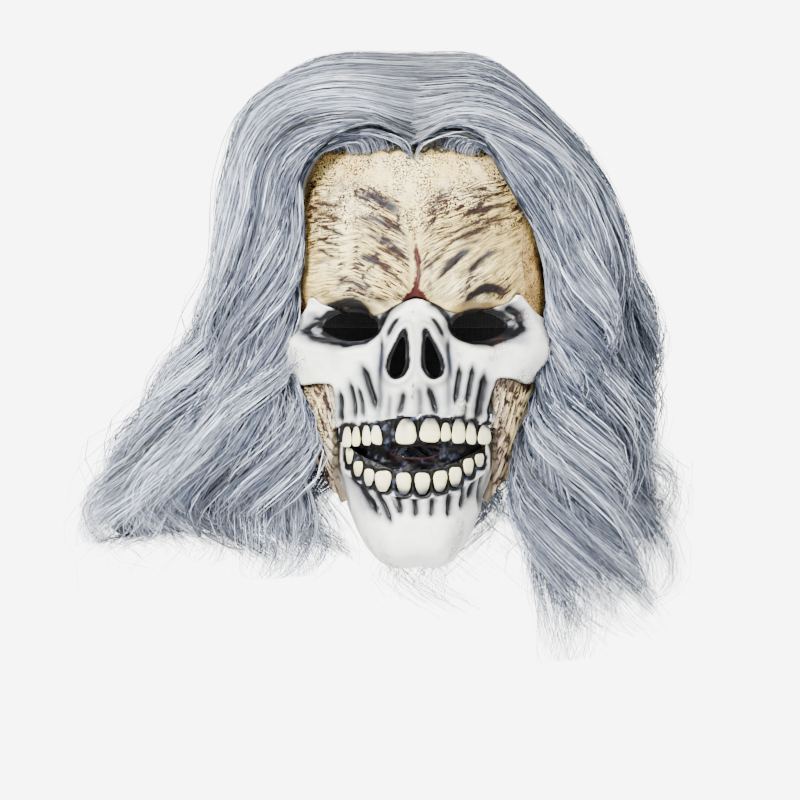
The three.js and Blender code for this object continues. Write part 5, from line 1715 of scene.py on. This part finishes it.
def hairline_paths(sheet, side, count, rng):
    """Strands that spring up from the edge of the brow, then fall in with the front hair."""
    root_x = side * np.clip(rng.uniform(0, 52, count), 0.2, 52)
    height = hairline_height(root_x) + rng.normal(0, 0.8, count)
    root = on_face(root_x, height, np.full(count, 1.5))
    u = np.clip(rng.beta(1.1, 2.6, count) * 0.22, 0.004, 0.3)
    column = sheet.look(sheet.points, u[:, None], np.linspace(0, 0.5, 80)[None, :])
    nearest = np.argmin(np.abs(np.abs(column[..., 0]) - np.abs(root_x)[:, None]), axis=1)
    v_root = nearest / 79 * 0.5
    reach = rng.uniform(0.62, 1.0, count)
    t = np.linspace(0, 1, SEGMENTS + 1)[None, :] ** 1.4
    v = v_root[:, None] + 0.03 + (reach - v_root)[:, None] * t
    uu = np.repeat(u[:, None], SEGMENTS + 1, 1)
    point = sheet.look(sheet.points, uu, v)
    normal = sheet.look(sheet.normals, uu, v)
    sideways = sheet.look(sheet.sideways, uu, v)
    phase = rng.integers(0, 14, count)[:, None] * 2.1 + rng.normal(0, 0.35, count)[:, None]
    curl = 6 * ramp(v, 0.2, 0.9)
    lift = rng.uniform(-3.5, 1.2, count)[:, None] + curl * 0.6 * np.cos(phase + v * 19)
    point = point + normal * lift[..., None] + sideways * (curl * np.sin(phase + v * 19))[..., None]
    spring = np.stack(
        [root_x * 1.02 + side * 2.0, root[:, 1] - 4.5, height + rng.uniform(4, 10, count)], -1)
    first, second = ramp(t, 0, 0.035)[..., None], ramp(t, 0.01, 0.16)[..., None]
    point = (root[:, None] * (1 - first) + spring[:, None] * first) * (1 - second) + point * second
    return point, normal, 0.5 + rng.normal(0, 0.28, count)


def clear_of_face(point):
    """Moves strand points out of the face and the cap to just above their skins."""
    flat = point.reshape(-1, 3).copy()
    radii = CAP_RADII + OVER_CAP
    q = (flat - CAP_CENTRE) / radii
    r = np.linalg.norm(q, axis=-1)
    inside = (r < 1) & (above_rim(flat) > -8)
    flat[inside] = ((q / np.maximum(r, 1e-6)[:, None]) * radii + CAP_CENTRE)[inside]
    near = (flat[:, 1] < 0) & (flat[:, 2] < 104) & (flat[:, 2] > -112)
    z = flat[:, 2]
    width = face_half_width(z) + OVER_FACE
    depth = face_depth(z) + OVER_FACE + np.maximum(relief(flat[:, 0], z), 0)
    share = (np.abs(flat[:, 0] / width) ** FACE_POWER
             + np.abs(flat[:, 1] / depth) ** FACE_POWER) ** (1 / FACE_POWER)
    push = near & (share < 1)
    scale = np.where(push, 1 / np.maximum(share, 0.3), 1)
    flat[:, 0] *= scale
    flat[:, 1] *= scale
    return flat.reshape(point.shape)


def strand_mesh(name, point, normal, tone, width, rng):
    """Each strand as a narrow ribbon with its own twist, tapered at both ends."""
    count, steps = point.shape[:2]
    tangent = np.gradient(point, axis=1)
    tangent /= np.maximum(np.linalg.norm(tangent, axis=-1, keepdims=True), 1e-9)
    across = np.cross(tangent, normal)
    across /= np.maximum(np.linalg.norm(across, axis=-1, keepdims=True), 1e-9)
    up = np.cross(across, tangent)
    twist = rng.uniform(-0.8, 0.8, count)[:, None, None]
    across = across * np.cos(twist) + up * np.sin(twist)
    along = np.linspace(0, 1, steps)
    taper = np.clip(along * 12, 0.35, 1) * np.clip((1 - along) * 6, 0.3, 1)
    half = width / 2 * taper[None, :, None] * rng.uniform(0.7, 1.35, count)[:, None, None]
    rows = np.stack([point - across * half, point + across * half], axis=2)
    index = np.arange(count * steps * 2).reshape(count, steps, 2)
    faces = np.stack(
        [index[:, :-1, 0], index[:, :-1, 1], index[:, 1:, 1], index[:, 1:, 0]], -1).reshape(-1, 4)
    shape = (count, steps, 2)
    uv = np.stack([np.broadcast_to(tone[:, None, None], shape),
                   np.broadcast_to(np.linspace(0.01, 0.99, steps)[None, :, None], shape)], -1)
    return put(name, rows.reshape(-1, 3), faces, uv=uv.reshape(-1, 2))


def under_hair(name, sheet, side, low, high, end, shade, rng):
    """The dense hair beneath the loose strands: a closed, combed sheet whose ragged hem is near end. Its
    tones start from shade, kept low as painted shade inside the hair.
    """
    columns, rows = int(420 * (high - low)) + 12, 60
    u = np.linspace(low, high, columns)
    lock_hem = 0.07 * np.abs(np.sin(u * 83 + side)) + 0.05 * np.abs(np.sin(u * 211 + 2 * side))
    ragged = end - lock_hem - 0.025 * rng.random(columns)
    t = np.linspace(0, 1, rows)
    uu = np.repeat(u[None, :], rows, 0)
    vv = ragged[None, :] * t[:, None]
    point = sheet.look(sheet.points, uu, vv)
    normal = sheet.look(sheet.normals, uu, vv)
    thick = sheet.thick(uu) * np.clip(0.3 + vv * 2.6, 0, 1)
    comb = 1.0 * np.sin(uu * 210 + 2 * np.sin(vv * 9)) + 0.6 * np.sin(uu * 530 + 3 * np.sin(vv * 7))
    outer = clear_of_face(point - normal * (thick * 0.74 - comb)[..., None])
    inner = clear_of_face(point - normal * (thick * 1.0 + 1.0)[..., None])
    faces = grid_faces(rows, columns)
    if side < 0:
        faces = faces[:, ::-1]
    streak = 0.3 * (0.5 + 0.5 * np.sin(uu * 330 + np.sin(vv * 5) * 3)) * rng.uniform(0.3, 1, columns)
    streak = shade + streak
    uv = np.stack([streak, vv], axis=-1).reshape(-1, 2)
    vertices = np.concatenate([outer.reshape(-1, 3), inner.reshape(-1, 3)])
    return put(name, vertices, wall_faces(faces, rows * columns), uv=np.concatenate([uv, uv]))


class MASK_OT_hair(bpy.types.Operator):
    """Fills the wig with combed, wavy grey strands over denser hair beneath"""

    bl_idname = "mask.hair"
    bl_label = "Grey wig"

    def execute(self, context):
        hair = context.scene.mask_hair
        silk = synthetic_hair("grey_hair", hair.dark, hair.middle, hair.light, 0.4)
        width = hair.width / METRES
        # The under-hair's base tones, the number before the nodes, are low as painted shade inside the
        # hair, and lightest at the back.
        groups = [
            ("front", (0.0, FALL_SHARE), hair.front_strands, 0.0, 0.9, 0.04, ["hair_fall"]),
            ("side", SIDE_SHARES, hair.side_strands, 0.12, 0.88, 0.06, ["hair_side", "hair_crown"]),
            ("back", (BACK_SHARE, 1.0), hair.back_strands, 0.34, 0.8, 0.16, ["hair_back"])]
        for name, side in SIDES.items():
            sheet = HairSheet(side)
            for number, (group, (low, high), count, inner, end, shade, nodes) in enumerate(groups):
                rng = np.random.default_rng(1000 + number * 10 + side)
                point, normal, tone = strand_paths(sheet, side, low, high, count, inner, rng)
                if group == "front":
                    extra = hairline_paths(sheet, side, hair.hairline_strands, rng)
                    point, normal, tone = (
                        np.concatenate(pair) for pair in zip((point, normal, tone), extra))
                point = np.clip(clear_of_face(point), *HAIR_ROOM)
                obj = strand_mesh(f"{group}_locks_{name}", point, normal,
                                  np.clip(tone, 0.02, 0.98), width, rng)
                under = under_hair(
                    f"{group}_under_hair_{name}", sheet, side, low, high, end, shade, rng)
                body = "mask"
                if group == "front":
                    x = FALL_HINGE["x"] * side
                    body = ("mask", f"fall_{name}", (x, 0, FALL_HINGE["above"]),
                            (x, 0, FALL_HINGE["below"]))
                finish_piece(obj, silk, body, [f"{node}_{name}" for node in nodes])
                finish_piece(under, silk, body)
        return {"FINISHED"}


# ---- stage ----

# Each light's name, place, the point it faces, its size and its power in watts.
LIGHTS = [
    ("key_light", (-0.9, -1.7, 1.0), (0, 0, 0), 0.7, 185),
    ("fill_light", (1.1, -1.6, 0.5), (0, 0, -0.02), 0.8, 46),
    ("top_light", (0, 0.5, 1.7), (0, 0, 0), 0.9, 34),
    ("rim_light", (-1.3, 1.0, 0.4), (0, 0, 0), 0.8, 26),
]
STUDIO_GLOW, SEEN_GLOW = 0.5, 7.5  # the world's light on the object, and as the camera sees it
FLOOR_GLOW, FLOOR_GLOW_SHARE = 9.2, 0.8
CAMERA_PLACE = (-0.008, -CAMERA_AWAY, -0.0435)
SENSOR = 36  # millimetres across the camera's sensor


def soft_light(name, place, target, size, power):
    data = bpy.data.lights.new(name, "AREA")
    data.shape = "SQUARE"
    data.size = size
    data.energy = power
    obj = bpy.data.objects.new(name, data)
    obj.location = place
    aim = (np.array(target) - np.array(place)).tolist()
    obj.rotation_euler = Vector(aim).to_track_quat("-Z", "Y").to_euler()
    bpy.context.scene.collection.objects.link(obj)
    return obj


def lit_floor():
    """A pale floor that the camera sees as bright as the studio round it."""
    floor = Finish("pale_floor")
    mottle = floor.noise(3, floor.place())
    floor.feed(floor.shader.inputs["Base Color"], floor.tones(mottle, [0.86] * 3, [0.9] * 3))
    floor.shader.inputs["Roughness"].default_value = 0.9
    floor.shader.inputs["Emission Color"].default_value = (1, 1, 1, 1)
    floor.shader.inputs["Emission Strength"].default_value = 0.6
    glow = floor.node("ShaderNodeEmission", {"Strength": FLOOR_GLOW})
    seen = floor.node("ShaderNodeLightPath").outputs["Is Camera Ray"]
    share = floor.maths("MULTIPLY", seen, FLOOR_GLOW_SHARE)
    mixed = floor.node("ShaderNodeMixShader", {"Fac": share})
    floor.feed(mixed.inputs[1], floor.shader.outputs[0])
    floor.feed(mixed.inputs[2], glow.outputs[0])
    floor.feed(floor.tree.nodes["Material Output"].inputs["Surface"], mixed.outputs[0])
    return floor.material


def studio_world():
    """Soft white light from all round, with a brighter white behind for the camera alone."""
    world = bpy.data.worlds.new("studio")
    world.use_nodes = True
    nodes, links = world.node_tree.nodes, world.node_tree.links
    around, seen = nodes["Background"], nodes.new("ShaderNodeBackground")
    for background, strength in ((around, STUDIO_GLOW), (seen, SEEN_GLOW)):
        background.inputs["Color"].default_value = (1, 1, 1, 1)
        background.inputs["Strength"].default_value = strength
    choice = nodes.new("ShaderNodeMixShader")
    links.new(nodes.new("ShaderNodeLightPath").outputs["Is Camera Ray"], choice.inputs["Fac"])
    links.new(around.outputs[0], choice.inputs[1])
    links.new(seen.outputs[0], choice.inputs[2])
    links.new(choice.outputs[0], nodes["World Output"].inputs["Surface"])
    return world


class MASK_OT_stage(bpy.types.Operator):
    """Sets the pale floor, the soft light and the camera"""

    bl_idname = "mask.stage"
    bl_label = "Stage"

    def execute(self, context):
        bpy.ops.mesh.primitive_plane_add(size=14, location=(0, 0, CAD_BOX[0][2] - FLOOR_DROP))
        floor = bpy.context.object
        floor.name = "pale_floor"
        floor.data.materials.append(lit_floor())
        context.scene.world = studio_world()
        for name, place, target, size, power in LIGHTS:
            soft_light(name, place, target, size, power)
        camera_data = bpy.data.cameras.new("camera")
        camera_data.sensor_width = SENSOR
        camera_data.lens = SENSOR * (CAMERA_AWAY - FACE_AWAY) / PICTURE_WIDTH
        camera = bpy.data.objects.new("camera", camera_data)
        camera.location = CAMERA_PLACE
        camera.rotation_euler = (math.pi / 2, 0, 0)
        context.scene.collection.objects.link(camera)
        context.scene.camera = camera
        return {"FINISHED"}


class MASK_PT_panel(bpy.types.Panel):
    """Lists the mask's pieces and their settings"""

    bl_idname = "MASK_PT_panel"
    bl_label = "Latex skull mask"
    bl_space_type = "VIEW_3D"
    bl_region_type = "UI"
    bl_category = "Mask"

    def draw(self, context):
        for group in (context.scene.mask_skin, context.scene.mask_hair, context.scene.mask_trim):
            for key in group.__annotations__:
                self.layout.prop(group, key)
        for step in STEPS:
            self.layout.operator(step.bl_idname)


STEPS = [
    MASK_OT_stage, MASK_OT_forehead, MASK_OT_bone, MASK_OT_cheeks, MASK_OT_jaw, MASK_OT_teeth,
    MASK_OT_gums, MASK_OT_pads, MASK_OT_cap, MASK_OT_harness, MASK_OT_hair,
]
SETTINGS = {"mask_skin": MaskSkinSettings, "mask_hair": MaskHairSettings, "mask_trim": MaskTrimSettings}


def register():
    for group in SETTINGS.values():
        bpy.utils.register_class(group)
    for name, group in SETTINGS.items():
        setattr(bpy.types.Scene, name, bpy.props.PointerProperty(type=group))
    for step in STEPS:
        bpy.utils.register_class(step)
    bpy.utils.register_class(MASK_PT_panel)


def unregister():
    bpy.utils.unregister_class(MASK_PT_panel)
    for step in reversed(STEPS):
        bpy.utils.unregister_class(step)
    for name, group in SETTINGS.items():
        delattr(bpy.types.Scene, name)
        bpy.utils.unregister_class(group)


def main():
    register()
    for step in STEPS:
        family, name = step.bl_idname.split(".")
        getattr(getattr(bpy.ops, family), name)()


if __name__ == "__main__":
    main()
